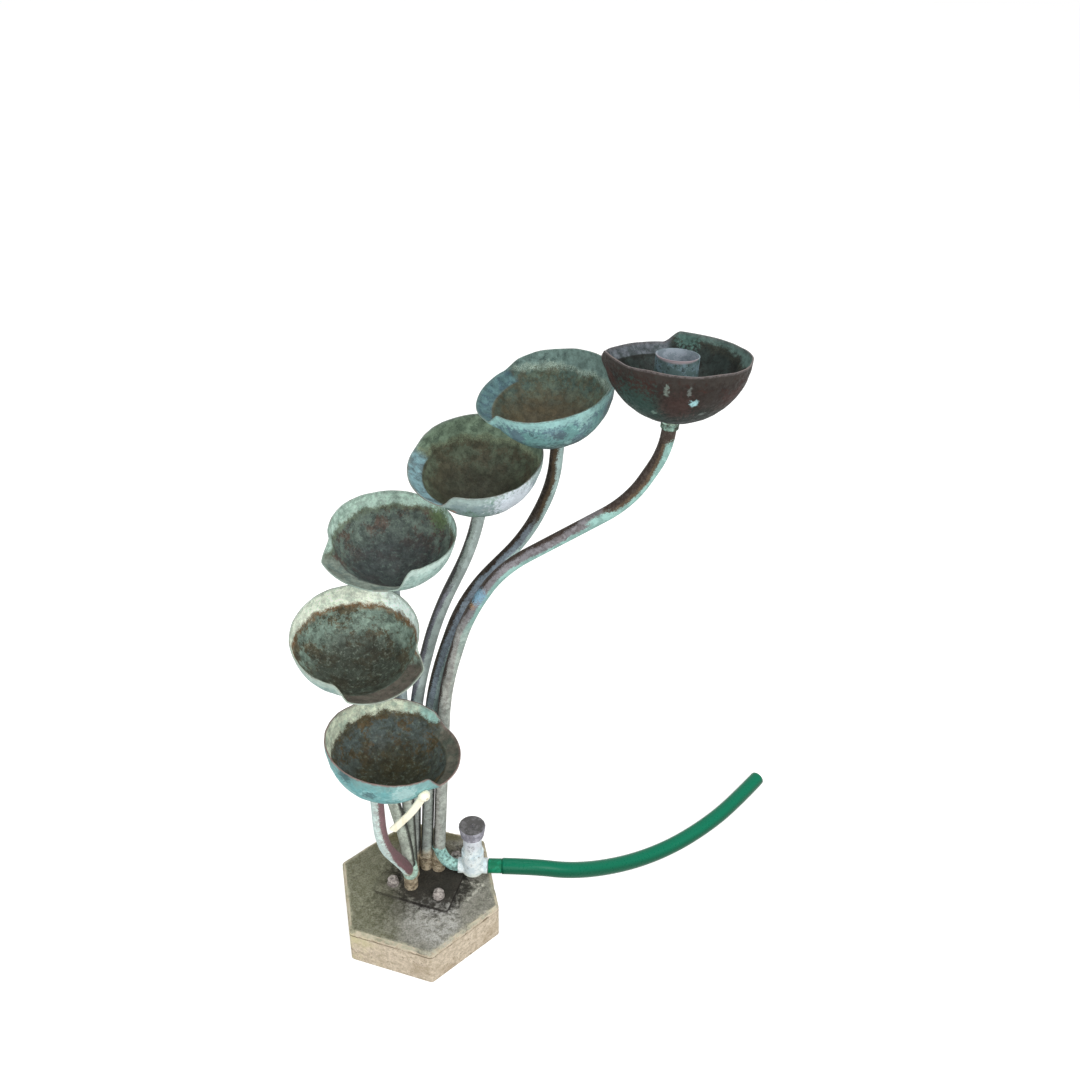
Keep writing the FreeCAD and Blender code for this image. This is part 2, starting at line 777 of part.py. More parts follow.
def hose_tail():
    """Brass tail: a flanged tube out of the valve, barbed where it holds the hose."""
    outlet = valve_x + valve_half_length
    start = outlet - tail_seat
    tail = along_x(start, outlet, port_radius - joint_gap)
    tail = tail.fuse(along_x(outlet, sleeve_end, tail_radius))
    cones = []
    for barb in range(barb_count):
        foot = Vector(sleeve_end + barb * barb_length, valve_y, valve_axis_height)
        cones.append(Part.makeCone(barb_radius, tail_radius, barb_length, foot, X_AXIS))
    tail = tail.fuse(cones).removeSplitter()
    return tail.cut(along_x(start, sleeve_end + barb_count * barb_length, tail_bore))


def hose_sleeve():
    """Green sleeve pushed over the tail, with a broken edge at each end."""
    sleeve = along_x(sleeve_start, sleeve_end, sleeve_radius)
    ends = [edge for edge in sleeve.Edges if edge.BoundBox.XLength < 0.01]
    sleeve = sleeve.makeChamfer(sleeve_edge, ends)
    return sleeve.cut(along_x(sleeve_start, sleeve_end, tail_radius + joint_gap))


def garden_hose():
    wire, length, radii = rounded_path(hose_route)
    hose = swept_rod(hose_route, hose_radius).cut(swept_rod(hose_route, hose_bore))
    section = math.pi * (hose_radius ** 2 - hose_bore ** 2)
    print("hose length", round(length, 1), "radii", [round(radius) for radius in radii])
    print("hose volume over section times length", round(hose.Volume / (section * length), 5))
    return hose


def flat_bar_ring(half_width, half_thick):
    """The section of a flat bar with half-round edges, in the horizontal plane."""
    edges = []
    for side in (1, -1):
        near = Vector(side * (half_width - half_thick), side * half_thick, 0)
        far = Vector(near.x, -near.y, 0)
        edges.append(Part.LineSegment(Vector(-near.x, near.y, 0), near).toShape())
        edges.append(Part.Arc(near, Vector(side * half_width, 0, 0), far).toShape())
    return Part.Wire(edges)


def drip_spout(place):
    """A short flat ivory tail on a round boss, seated under the lip of the lowest bowl."""
    cap = Cap(place)
    side = polar(cap.at(-spout_below_rim, cap.outer) + spout_boss_radius * spout_boss_proud, spout_turn)
    centre = bowl_point(place, side.x, side.y, -spout_below_rim)
    points = [(centre.x, centre.y, centre.z)]
    for dx, dy, dz in spout_run:
        points.append((centre.x + dx, centre.y + dy, centre.z + dz))
    ahead = Vector(*points[1]) - centre
    ring = flat_bar_ring(spout_half_width, spout_half_thick)
    ring.Placement = FreeCAD.Placement(centre, FreeCAD.Rotation(UP, ahead))
    tail = rounded_path(points)[0].makePipeShell([ring], True, False)
    outward = polar(1, place["pour"] + spout_turn)
    drilling = rod(centre - outward * spout_boss_radius, outward, 3 * spout_boss_radius, spout_hole_radius)
    spout = Part.makeSphere(spout_boss_radius, centre).fuse(tail)
    return biggest(spout.cut([drilling, bowl_ball(place)]))


def main():
    os.makedirs("parts", exist_ok=True)
    studs = stud_places()
    export("base_block", base_block())
    export("base_plate", base_plate())
    export("anchor_studs", group([anchor_stud(place) for place in studs]))
    export("plate_washers", group([plate_washer(place) for place in studs]))
    nut_turns = (10, 34, 52, 21)
    export("plate_nuts", group([plate_nut(place, turn) for place, turn in zip(studs, nut_turns)]))

    routes = stem_routes()
    top_bowl = bowl_places[0]
    branch_outer = swept_rod(branch_route(), tube_radius + joint_gap)
    branch_core = swept_rod(branch_route(), tube_radius - tube_wall)
    trunk_1 = swept_rod(routes[0], tube_radius + joint_gap)
    trunk_5 = swept_rod(routes[4], tube_radius + joint_gap)
    export("stem_1", feed_stem(routes[0], branch_core))
    for number in range(2, 6):
        export("stem_" + str(number), stem(routes[number - 1], bowl_places[number - 1]))
    export("stem_6", branch_stem(routes[5], bowl_places[5], trunk_5))
    branch = swept_rod(branch_route(), tube_radius).cut(branch_core)
    export("feed_branch", biggest(branch.cut(trunk_1)))
    export("foot_sockets", foot_sockets(routes, branch_outer))
    collars = [collar(route, place) for route, place in zip(routes, bowl_places)]
    export("bowl_collars", group(collars))

    feed_end = Vector(*routes[0][-1])
    ahead = feed_direction(routes[0])
    feed_hole = rod(feed_end - ahead * tube_radius, ahead, 2 * tube_radius, tube_radius + joint_gap)
    for number, place in enumerate(bowl_places, 1):
        shell = bowl(place)
        if place is top_bowl:
            shell = shell.cut(feed_hole)
        export("bowl_" + str(number), shell)
    export("feed_nut", feed_nut(routes[0], top_bowl))
    export("feed_cup", feed_cup(top_bowl))
    export("drip_spout", drip_spout(bowl_places[5]))

    export("valve_body", valve_body())
    export("valve_bonnet", valve_bonnet())
    export("packing_ring", packing_ring())
    export("valve_washer", valve_washer())
    export("valve_disc", valve_disc())
    export("valve_spindle", valve_spindle())
    export("valve_knob", valve_knob())
    export("knob_screw", knob_screw())
    export("hose_tail", hose_tail())
    export("hose_sleeve", hose_sleeve())
    export("garden_hose", garden_hose())


main()
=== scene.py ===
"""A garden cascade dressed for its portrait: weathered copper bowls, tubes, concrete and a green hose.

Metres, in the part's own frame: +Z up, +X along the shut-off valve towards the hose.
"""

import math

import bpy
import numpy as np
from mathutils import Matrix, Vector


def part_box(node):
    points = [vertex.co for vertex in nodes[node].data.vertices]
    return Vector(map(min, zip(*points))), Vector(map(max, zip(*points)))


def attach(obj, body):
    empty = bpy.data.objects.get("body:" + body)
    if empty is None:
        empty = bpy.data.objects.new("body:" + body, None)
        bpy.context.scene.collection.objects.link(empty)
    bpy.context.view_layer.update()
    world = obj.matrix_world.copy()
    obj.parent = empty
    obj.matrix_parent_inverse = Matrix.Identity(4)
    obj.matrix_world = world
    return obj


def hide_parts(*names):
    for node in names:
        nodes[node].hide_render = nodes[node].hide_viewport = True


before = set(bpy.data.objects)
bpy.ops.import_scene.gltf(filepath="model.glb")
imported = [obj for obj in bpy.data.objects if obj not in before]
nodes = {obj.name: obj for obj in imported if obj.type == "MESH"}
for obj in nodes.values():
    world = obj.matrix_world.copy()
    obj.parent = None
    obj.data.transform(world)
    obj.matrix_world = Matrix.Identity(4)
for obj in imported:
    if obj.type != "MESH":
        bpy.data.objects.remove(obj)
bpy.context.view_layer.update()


# The camera stands in front of the fountain, a little over a metre above the ground, and looks
# down on it, tilted slightly to one side.

camera_place = (0.15287, -1.05058, 1.39535)
camera_pitch = math.radians(54.29)
camera_roll = math.radians(1.397)


def new_object(name, data):
    """An object made of that data, put into the scene."""
    item = bpy.data.objects.new(name, data)
    bpy.context.scene.collection.objects.link(item)
    return item


camera = new_object("camera", bpy.data.cameras.new("camera"))
camera.data.lens = 40.0
camera.data.sensor_width = 36.0
camera.matrix_world = (Matrix.Translation(camera_place) @ Matrix.Rotation(camera_pitch, 4, "X")
                       @ Matrix.Rotation(camera_roll, 4, "Z"))
bpy.context.scene.camera = camera


# The studio: an even pale sky, a broad soft lamp at each side, one in front and one above, and a
# pale floor that stays white behind the piece and still takes its shadow.

sky_strength = 0.5
white = (1.0, 1.0, 1.0, 1.0)
stage_middle = Vector((0.1, 0.0, 0.45))
lamps = [
    ("lamp_right", (1.9, -1.5, 2.4), 1.6, 48.0),
    ("lamp_left", (-1.8, -1.7, 2.0), 1.8, 16.0),
    ("lamp_top", (0.2, 0.6, 2.8), 1.8, 22.0),
    ("lamp_front", (0.1, -2.7, 1.4), 2.0, 32.0),
]
floor_reach = 6.0
floor_lift = 0.7
weathered_gloss = 0.2


class Amount:
    """A number that a material works out at each point; it can be added, taken away and multiplied."""

    def __init__(self, socket):
        self.socket = socket

    def __add__(self, other):
        return worked("ADD", self, other)

    def __sub__(self, other):
        return worked("SUBTRACT", self, other)

    def __rsub__(self, other):
        return worked("SUBTRACT", other, self)

    def __mul__(self, other):
        return worked("MULTIPLY", self, other)

    def __abs__(self):
        return worked("ABSOLUTE", self)

    __radd__ = __add__
    __rmul__ = __mul__


def node(kind, feeds=None, tree=None, **settings):
    """Adds a node, to the tree of what feeds it unless told; feeds go by socket name or number."""
    given = {socket: value.socket if isinstance(value, Amount) else value
             for socket, value in (feeds or {}).items()}
    linked = [socket for socket, value in given.items() if isinstance(value, bpy.types.NodeSocket)]
    tree = tree or given[linked[0]].id_data
    new = tree.nodes.new("ShaderNode" + kind)
    for name, value in settings.items():
        setattr(new, name, value)
    for socket, value in given.items():
        if socket in linked:
            tree.links.new(value, new.inputs[socket])
        else:
            new.inputs[socket].default_value = value
    return new


def worked(how, *numbers):
    """One sum on one or two numbers, of which at least one is an Amount or a socket."""
    return Amount(node("Math", dict(enumerate(numbers)), operation=how).outputs[0])


def paint(red, green, blue):
    """A colour given as it looks on a screen, 0 to 255, turned into the linear values of a shader."""
    shares = np.array([red, green, blue]) / 255
    linear = np.where(shares <= 0.04045, shares / 12.92, ((shares + 0.055) / 1.055) ** 2.4)
    return (*linear.tolist(), 1.0)


def seen_straight_or_mirrored(tree):
    """1 for rays that come from the camera, a reflection or through glass, 0 for the rest."""
    path = node("LightPath", tree=tree).outputs
    straight = worked("MAXIMUM", path["Is Camera Ray"], path["Is Glossy Ray"])
    return worked("MAXIMUM", straight, path["Is Transmission Ray"])


def blank_material(name):
    """A material with an empty node tree."""
    material = bpy.data.materials.new(name)
    material.use_nodes = True
    material.node_tree.nodes.clear()
    return material


def skin(material, colour, roughness, **feeds):
    """Gives a material its surface shader, with other feeds by socket name and a faint gloss."""
    named = {"Base Color": colour, "Roughness": roughness, "Specular IOR Level": weathered_gloss}
    named.update({name.replace("_", " "): value for name, value in feeds.items()})
    surface = node("BsdfPrincipled", named, tree=material.node_tree)
    node("OutputMaterial", {"Surface": surface.outputs[0]})
    return material


sky = bpy.data.worlds.new("studio")
bpy.context.scene.world = sky
sky.use_nodes = True
sky.node_tree.nodes.clear()
sky_level = seen_straight_or_mirrored(sky.node_tree) * (1 - sky_strength) + sky_strength
sky_glow = node("Background", {"Color": white, "Strength": sky_level})
node("OutputWorld", {"Surface": sky_glow.outputs[0]})

for name, place, size, power in lamps:
    lamp = new_object(name, bpy.data.lights.new(name, "AREA"))
    lamp.data.size = size
    lamp.data.energy = power
    lamp.location = place
    lamp.rotation_euler = (stage_middle - Vector(place)).to_track_quat("-Z", "Y").to_euler()

floor_corners = [(-floor_reach, -floor_reach, 0), (floor_reach, -floor_reach, 0),
                 (floor_reach, floor_reach, 0), (-floor_reach, floor_reach, 0)]
floor = new_object("floor", bpy.data.meshes.new("floor"))
floor.data.from_pydata(floor_corners, [], [(0, 1, 2, 3)])
pale_floor = blank_material("pale_floor")
skin(pale_floor, paint(196, 196, 194), 0.9, Specular_IOR_Level=0.1,
     Emission_Color=white, Emission_Strength=seen_straight_or_mirrored(pale_floor.node_tree) * floor_lift)
floor.data.materials.append(pale_floor)


# Hose: a short length of 22 mm emerald garden hose, pushed over the valve's tail, that drops to the
# ground and ends in a plain square cut.  Its wall shows at the open end.

hose_radius = 0.011
hose_bore = 0.008
hose_edge = 0.0006
hose_sides = 40
hose_steps = 24
hose_route = [
    (0.112, 0.02, 0.076),
    (0.156, 0.02, 0.076),
    (0.203, 0.0275, 0.06),
    (0.252, 0.052, 0.037),
    (0.304, 0.0825, 0.0188),
    (0.356, 0.115, 0.0117),
    (0.405, 0.152, 0.0113),
    (0.4525, 0.197, 0.0113),
    (0.4995, 0.254, 0.0113),
]


def spline_points(route, steps):
    """Points of the smooth line that a quadratic NURBS spline draws along its control points."""
    curve = bpy.data.curves.new("route", "CURVE")
    curve.dimensions = "3D"
    curve.resolution_u = steps
    spline = curve.splines.new("NURBS")
    spline.points.add(len(route) - 1)
    for point, place in zip(spline.points, route):
        point.co = (*place, 1.0)
    spline.order_u = 3
    spline.use_endpoint_u = True
    holder = new_object("route", curve)
    bpy.context.view_layer.update()
    mesh = bpy.data.meshes.new_from_object(holder)
    flat = np.zeros(len(mesh.vertices) * 3)
    mesh.vertices.foreach_get("co", flat)
    bpy.data.objects.remove(holder)
    bpy.data.meshes.remove(mesh)
    bpy.data.curves.remove(curve)
    return flat.reshape(-1, 3)


def grid_faces(rows, columns, both_ways=False):
    """Four-sided faces of a grid that is closed round; both_ways joins its last row to its first too."""
    index = np.arange(rows * columns).reshape(rows, columns)
    index = np.hstack([index, index[:, :1]])
    if both_ways:
        index = np.vstack([index, index[:1]])
    return np.stack([index[:-1, :-1], index[:-1, 1:], index[1:, 1:], index[1:, :-1]], -1).reshape(-1, 4)


def add_piece(name, points, faces, material):
    """Puts points and faces into a smooth mesh object of that name, which stands still."""
    mesh = bpy.data.meshes.new(name)
    mesh.from_pydata(points.tolist(), [], [face for part in faces for face in part.tolist()])
    mesh.polygons.foreach_set("use_smooth", np.full(len(mesh.polygons), True))
    mesh.update()
    mesh.materials.append(material)
    piece = new_object(name, mesh)
    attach(piece, "root")
    return piece


def spokes_along(line, sides):
    """Unit spokes of rings carried along a line, each ring square to it.

    The line's direction crossed with +Z gives sideways, and sideways crossed with the direction gives
    upwards; a spoke is the cosine of its angle sideways plus the sine of it upwards."""
    ahead = np.gradient(line, axis=0)
    ahead /= np.linalg.norm(ahead, axis=1, keepdims=True)
    side = np.cross(ahead, (0.0, 0.0, 1.0))
    side /= np.linalg.norm(side, axis=1, keepdims=True)
    up = np.cross(side, ahead)
    turn = -np.arange(sides) / sides * 2 * math.pi
    return np.cos(turn)[:, None] * side[:, None] + np.sin(turn)[:, None] * up[:, None]


def hose_tube(line):
    """A tube with an outside, a bore and a rounded rim at its open end.

    Its rings run down the outside, round the rim and back up the bore.  Each is a place on the line
    plus radius times the spokes there, and those of the rim stand back from the end by their share
    of the edge."""
    count = len(line)
    order = np.concatenate([np.arange(count), np.full(4, count - 1), np.arange(count)[::-1]])
    rim = hose_edge * np.array([0.3, 1.0])
    radii = np.concatenate([np.full(count, hose_radius), hose_radius - rim, hose_bore + rim[::-1],
                            np.full(count, hose_bore)])
    back = np.zeros(len(order))
    back[count - 1:count + 5] = hose_edge * np.array([1.0, 0.5, 0.0, 0.0, 0.5, 1.0])
    ahead = (line[-1] - line[-2]) / np.linalg.norm(line[-1] - line[-2])
    rings = line[order][:, None] + spokes_along(line, hose_sides)[order] * radii[:, None, None]
    rings -= back[:, None, None] * ahead
    return rings.reshape(-1, 3), [grid_faces(len(rings), hose_sides, both_ways=True)]


def object_place(material):
    """Where a point of the piece is, in metres."""
    return node("TexCoord", tree=material.node_tree).outputs["Object"]


def vectors(how, *places):
    """One sum on one or two places or directions, of which at least one is a socket."""
    result = node("VectorMath", dict(enumerate(places)), operation=how).outputs
    return Amount(result["Value"]) if how in ("DOT_PRODUCT", "LENGTH", "DISTANCE") else result[0]


def surface_direction(material):
    """Which way the surface faces."""
    return node("TexCoord", tree=material.node_tree).outputs["Normal"]


def facing_share(material, direction):
    """How squarely the surface faces a direction, from -1 to 1."""
    return vectors("DOT_PRODUCT", surface_direction(material), direction)


def stretched(place, share):
    """A place multiplied by an amount."""
    return node("VectorMath", {0: place, "Scale": share}, operation="SCALE").outputs[0]


def scaled(place, size):
    """A place divided by a size, one number or three, for a pattern of that size."""
    if isinstance(size, Amount):
        return stretched(place, worked("DIVIDE", 1.0, size))
    return vectors("DIVIDE", place, size if isinstance(size, tuple) else (size, size, size))


def cloud(place, detail=3.0, roughness=0.55):
    """Soft noise between 0 and 1."""
    feeds = {"Vector": place, "Scale": 1.0, "Detail": detail, "Roughness": roughness}
    return Amount(node("TexNoise", feeds).outputs[0])


def ramp_up(value, low, high, bottom=0.0, top=1.0):
    """A smooth step of a value: bottom under low, top over high."""
    feeds = {"Value": value, "From Min": low, "From Max": high, "To Min": bottom, "To Max": top}
    return Amount(node("MapRange", feeds, interpolation_type="SMOOTHSTEP").outputs[0])


def mixed(mask, under, over, how="MIX"):
    """One colour laid over another by a mask; a plain tone is painted first."""
    under, over = (paint(*tone) if isinstance(tone, tuple) else tone for tone in (under, over))
    return node("Mix", {0: mask, 6: under, 7: over}, data_type="RGBA", blend_type=how).outputs[2]


def bumped(height, strength, distance):
    """A normal shaped by a height."""
    return node("Bump", {"Height": height, "Strength": strength, "Distance": distance}).outputs[0]


def hose_plastic():
    """Smooth extruded emerald plastic with a painted highlight on top, a soft gloss and fine scuffs."""
    material = blank_material("hose_plastic")
    place = object_place(material)
    scuff = cloud(scaled(place, 0.004), 4.0)
    patch = cloud(scaled(place, 0.06), 2.0)
    # Painted highlight: the green is lighter on the faces that look up.
    upwards = facing_share(material, (0.0, 0.0, 1.0)) + patch * 0.2
    green = mixed(ramp_up(upwards, 0.35, 1.0), (0, 84, 59), (2, 108, 79))
    dusty = mixed(ramp_up(scuff, 0.62, 0.8, 0.0, 0.08), green, (40, 140, 104))
    return skin(material, dusty, ramp_up(scuff, 0.3, 0.7, 0.26, 0.34),
                Normal=bumped(scuff, 0.04, 0.0003), Specular_IOR_Level=0.16)


hose_line = spline_points(hose_route, hose_steps)
hose = add_piece("hose", *hose_tube(hose_line), hose_plastic())
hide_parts("garden_hose")


# Paver: a hexagonal block of cast concrete, 200 mm across its flats, with worn edges, air holes and
# an olive, algae-stained top.  The stems stand on the steel plate bolted to it.

paver_flats = 0.2
paver_height = 0.06
paver_arris = 0.005
paver_turn = math.radians(43.0)
paver_columns = 420
air_holes = [(-0.0888, 0.0098, 0.06), (0.03, -0.0692, 0.06), (-0.0728, -0.0375, 0.06)]
air_hole_radius = 0.0026
air_hole_depth = 0.003
skin_roughness = 0.00025
chip_depth = 0.002
grime_line_height = 0.0515
foot_stain = (0.018, 0.008, 0.06)
side_stain = (-0.03, -0.03, 0.06)
pale_patch = (0.024, -0.064, 0.06)
lime_line = [(0.0537, 0.0057, 0.06), (0.0868, 0.0, 0.06), (0.0666, -0.0253, 0.06)]
patterned = {"Place": "Vector", "Size": "Float", "Share": "Float"}


def shared_group(name, inputs, outputs, effect):
    """A shader node group with named inputs and outputs, filled by the effect that links them."""
    tree = bpy.data.node_groups.new(name, "ShaderNodeTree")
    for label, kind in inputs.items():
        tree.interface.new_socket(name=label, in_out="INPUT", socket_type="NodeSocket" + kind)
    for label, kind in outputs.items():
        tree.interface.new_socket(name=label, in_out="OUTPUT", socket_type="NodeSocket" + kind)
    given = tree.nodes.new("NodeGroupInput").outputs
    result = tree.nodes.new("NodeGroupOutput").inputs
    taken = [Amount(given[label]) if kind == "Float" else given[label] for label, kind in inputs.items()]
    for label, value in zip(outputs, effect(*taken)):
        tree.links.new(value.socket if isinstance(value, Amount) else value, result[label])
    return tree


def laid(group, place, size, share):
    """What a shared effect puts out at a place."""
    effect = node("Group", {"Place": place, "Size": size, "Share": share}, node_tree=group)
    return [Amount(output) for output in effect.outputs]


def mottle(place, size, share):
    """Ragged patches of a size, over a share of the surface, and the finer noise that frays them."""
    cell = scaled(place, size)
    grain = cloud(scaled(cell, 0.11), 3.0, 0.7)
    frayed = cloud(cell, 5.0, 0.68) + (grain - 0.5) * 0.35
    limit = 0.72 - share * 0.44
    return [ramp_up(frayed - limit, -0.045, 0.045), grain]


def coordinates(place):
    """The three numbers of a place."""
    return [Amount(part) for part in node("SeparateXYZ", {0: place}).outputs]


def near_line(place, start, end):
    """How far a point is from a straight line between two points."""
    start, end = Vector(start), Vector(end)
    run = end - start
    off = vectors("SUBTRACT", place, start)
    share = node("Clamp", {"Value": vectors("DOT_PRODUCT", off, run / run.length_squared)}).outputs[0]
    return vectors("DISTANCE", off, stretched(run, share))


def ground_dirt(place):
    """The colour and relief of the paver's top and of what lies flat on it: fine grey and olive grains,
    a sooty stain round the feet, a pale speckled patch in front of them and a thin line of lime."""
    along_x, along_y, _ = coordinates(place)
    fine = cloud(scaled(place, 0.0024), 3.0, 0.75)
    blotch = ramp_up(cloud(scaled(place, 0.01), 6.0, 0.78), 0.34, 0.66)
    wander = (cloud(scaled(place, 0.04), 4.0, 0.6) - 0.5) * 0.09
    fray = (blotch - 0.5) * 0.022
    colour = mixed(blotch, (112, 111, 100), (152, 150, 140))
    olive = ramp_up(along_x + wander, 0.0, -0.05, 0.0, 0.75)
    colour = mixed(olive, colour, mixed(blotch, (96, 97, 72), (126, 127, 104)))
    behind = ramp_up(along_y + wander, 0.05, 0.08, 0.0, 0.8)
    colour = mixed(behind, colour, (94, 89, 60))
    pale = ramp_up(vectors("DISTANCE", place, pale_patch) + wander, 0.052, 0.022)
    colour = mixed(pale * ramp_up(blotch, 0.0, 1.0, 0.15, 0.85), colour, (186, 185, 180))
    middle = vectors("DISTANCE", place, foot_stain) + fray
    stain = ramp_up(middle + wander * 0.6, 0.068, 0.036, 0.0, 0.9)
    aside = vectors("DISTANCE", place, side_stain) + fray
    stain = worked("MAXIMUM", stain, ramp_up(aside, 0.045, 0.012, 0.0, 0.42))
    colour = mixed(stain, colour, (38, 36, 32))
    for start, end in zip(lime_line[:-1], lime_line[1:]):
        off = near_line(place, start, end) + (blotch - 0.5) * 0.0035
        lime = ramp_up(off, 0.004, 0.0006, 0.0, 0.8) * ramp_up(blotch, 0.3, 0.8, 0.1, 1.0)
        colour = mixed(lime, colour, (204, 202, 188))
    grains = ramp_up(fine, 0.36, 0.64, 0.76, 1.22)
    return [mixed(1.0, colour, grains, "MULTIPLY"), fine + blotch]


mottle_group = shared_group("mottle", patterned, {"Mask": "Float", "Grain": "Float"}, mottle)
ground_dirt_group = shared_group("ground_dirt", {"Place": "Vector"}, {"Color": "Color", "Relief": "Float"},
                                 ground_dirt)


def kept(material, name):
    """Reads a value kept on the mesh."""
    return Amount(node("Attribute", tree=material.node_tree, attribute_name=name).outputs["Fac"])


def weathered_concrete():
    """Cast concrete: warm beige gritty sides, a dirty top, and a pale worn arris between them."""
    material = blank_material("weathered_concrete")
    place = object_place(material)
    along_x, _, height = coordinates(place)
    sand = cloud(scaled(place, 0.0018), 3.0, 0.7)
    coarse = cloud(scaled(place, 0.0055), 5.0, 0.74)
    patch = cloud(scaled(place, 0.035), 4.0, 0.6)
    side = mixed(ramp_up(coarse, 0.36, 0.64), (186, 172, 150), (222, 208, 188))
    side = mixed(ramp_up(patch, 0.5, 0.68, 0.0, 0.55), side, (164, 147, 122))
    side = mixed(ramp_up(sand, 0.57, 0.66, 0.0, 0.62), side, (140, 122, 98))
    side = mixed(ramp_up(coarse, 0.66, 0.72, 0.0, 0.75), side, (96, 84, 66))
    pits, _ = laid(mottle_group, place, 0.005, 0.2)
    side = mixed(pits * 0.75, side, (112, 98, 76))
    yellow = ramp_up(along_x, -0.03, -0.08) * ramp_up(patch, 0.42, 0.6)
    side = mixed(yellow * 0.6, side, (218, 212, 166))
    under_arris = ramp_up(abs(height - grime_line_height + (coarse - 0.5) * 0.006), 0.0018, 0.0004)
    side = mixed(under_arris * ramp_up(patch, 0.4, 0.55, 0.25, 0.85), side, (104, 92, 72))
    dirt = node("Group", {"Place": place}, node_tree=ground_dirt_group).outputs["Color"]
    fray = (coarse - 0.5) * 1.6 + (patch - 0.42) * 3.0
    colour = mixed(ramp_up(kept(material, "on_top") + fray, 0.35, 0.75), side, dirt)
    worn = kept(material, "arris") * ramp_up(coarse, 0.38, 0.6, 0.05, 0.8)
    colour = mixed(worn, colour, (188, 184, 160))
    return skin(material, colour, 0.94, Normal=bumped(sand + coarse * 1.4, 0.6, 0.0012))


def lattice_noise(places, size, seed):
    """Noise from -1 to 1: random values on a cubic lattice of this size, blended smoothly between.

    Each corner of the cell that holds a point gives its value by the product of three smooth shares."""
    cell = np.asarray(places) / size
    low = np.floor(cell).astype(np.int64)
    share = cell - low
    share = share * share * (3 - 2 * share)
    total = np.zeros(cell.shape[:-1])
    for corner in np.ndindex(2, 2, 2):
        mixed_up = ((low + corner) * (73856093, 19349663, 83492791)).sum(-1) + seed * 668265263
        mixed_up = (mixed_up ^ (mixed_up >> 13)) * 1274126177 & 0x7FFFFFFF
        mixed_up = (mixed_up ^ (mixed_up >> 11)) * 1103515245 & 0x7FFFFFFF
        weight = np.where(corner, share, 1 - share).prod(-1)
        total += weight * (mixed_up / 0x3FFFFFFF - 1)
    return total


def layered_noise(places, size, seed, layers):
    """Several sizes of lattice noise added, each half as large and half as strong as the last."""
    return sum(lattice_noise(places, size / 2 ** k, seed + k) / 2 ** k for k in range(layers))


def surface_normals(grid):
    """Unit normals of a closed-round grid of points, from its two directions crossed."""
    along = np.gradient(grid, axis=0)
    across = np.roll(grid, -1, axis=1) - np.roll(grid, 1, axis=1)
    normal = np.cross(across, along)
    return normal / np.maximum(np.linalg.norm(normal, axis=-1, keepdims=True), 1e-12)


def paver_profile():
    """The block's profile, from the middle of its underside to the middle of its top: how far each
    row of points lies inside the outline, and its height.  The arris is a quarter circle."""
    bend = np.linspace(0, math.pi / 2, 7)
    side_top = paver_height - paver_arris
    inset = np.concatenate([np.linspace(0.097, 0.002, 20), [0.0], np.zeros(26),
                            paver_arris * (1 - np.cos(bend)), np.linspace(0.007, 0.099, 48)])
    height = np.concatenate([np.zeros(20), [0.0012], np.linspace(0.003, side_top - 0.001, 26),
                             side_top + paver_arris * np.sin(bend), np.full(48, paver_height)])
    return inset[:, None], height[:, None]


def paver_grid():
    """The block's skin, how near each point is to the top's arris, and whether it is on the top.

    The angle runs round the block and the profile up it.  The outline is the power mean of six flats,
    which rounds its corners a little.  Rough skin, chips in the arris and air holes all go inwards
    from it: the first two by noise, a hole by the exponential of minus the fourth power of the
    distance from its middle, in radii."""
    inset, height = paver_profile()
    angle = np.arange(paver_columns) / paver_columns * 2 * math.pi
    flats = paver_turn + math.pi / 6 + np.arange(6) * math.pi / 3
    lean = np.maximum(np.cos(angle[:, None] - flats), 0.0)
    reach = paver_flats / 2 / (lean ** 90).sum(1) ** (1 / 90)
    radius = reach * (1 - inset / (paver_flats / 2))
    grid = np.stack([radius * np.cos(angle), radius * np.sin(angle), height + 0 * radius], -1)
    rough = skin_roughness * (1 + layered_noise(grid, 0.009, 11, 3))
    worn = np.exp(-((inset - 0.0015) / 0.004) ** 2) * (height > 0.05)
    chips = chip_depth * worn * np.clip(layered_noise(grid, 0.016, 5, 3) - 0.1, 0, 1)
    holes = sum(np.exp(-(np.linalg.norm(grid - hole, axis=-1) / air_hole_radius) ** 4) for hole in air_holes)
    depth = (rough + chips + air_hole_depth * holes) * (height > 0.002)
    from_arris = np.hypot(inset, paver_height - height)
    arris = np.clip((0.0072 + 0.002 * lattice_noise(grid, 0.012, 9) - from_arris) / 0.0045, 0, 1)
    on_top = np.clip((height - inset - paver_height + paver_arris) / paver_arris, -0.5, 1)
    on_top = np.where(height < 0.03, -0.5, np.where(inset > 0.004, 1.0, on_top))
    return grid - surface_normals(grid) * depth[..., None], arris, on_top + 0 * radius


def fan_faces(ring, tip, upwards):
    """Three-sided faces from a ring of points to one tip, facing along the ring's axis or against it."""
    after = np.roll(ring, -1)
    pair = (ring, after) if upwards else (after, ring)
    return np.stack([*pair, np.full(len(ring), tip)], -1)


def capped_grid(grid):
    """Points and faces of a grid that is closed round, with a fan to a tip at each end."""
    rows, columns = grid.shape[:2]
    tips = np.stack([grid[0].mean(0), grid[-1].mean(0)])
    points = np.concatenate([grid.reshape(-1, 3), tips])
    ring = np.arange(columns)
    return points, [grid_faces(rows, columns), fan_faces(ring, rows * columns, False),
                    fan_faces(ring + (rows - 1) * columns, rows * columns + 1, True)]


def keep_values(piece, name, grid, *tips):
    """Keeps one value for each point of a piece under a name: those of its grid, then its tips'."""
    layer = piece.data.attributes.new(name, "FLOAT", "POINT")
    layer.data.foreach_set("value", np.append(grid.ravel(), tips).astype(np.float32))


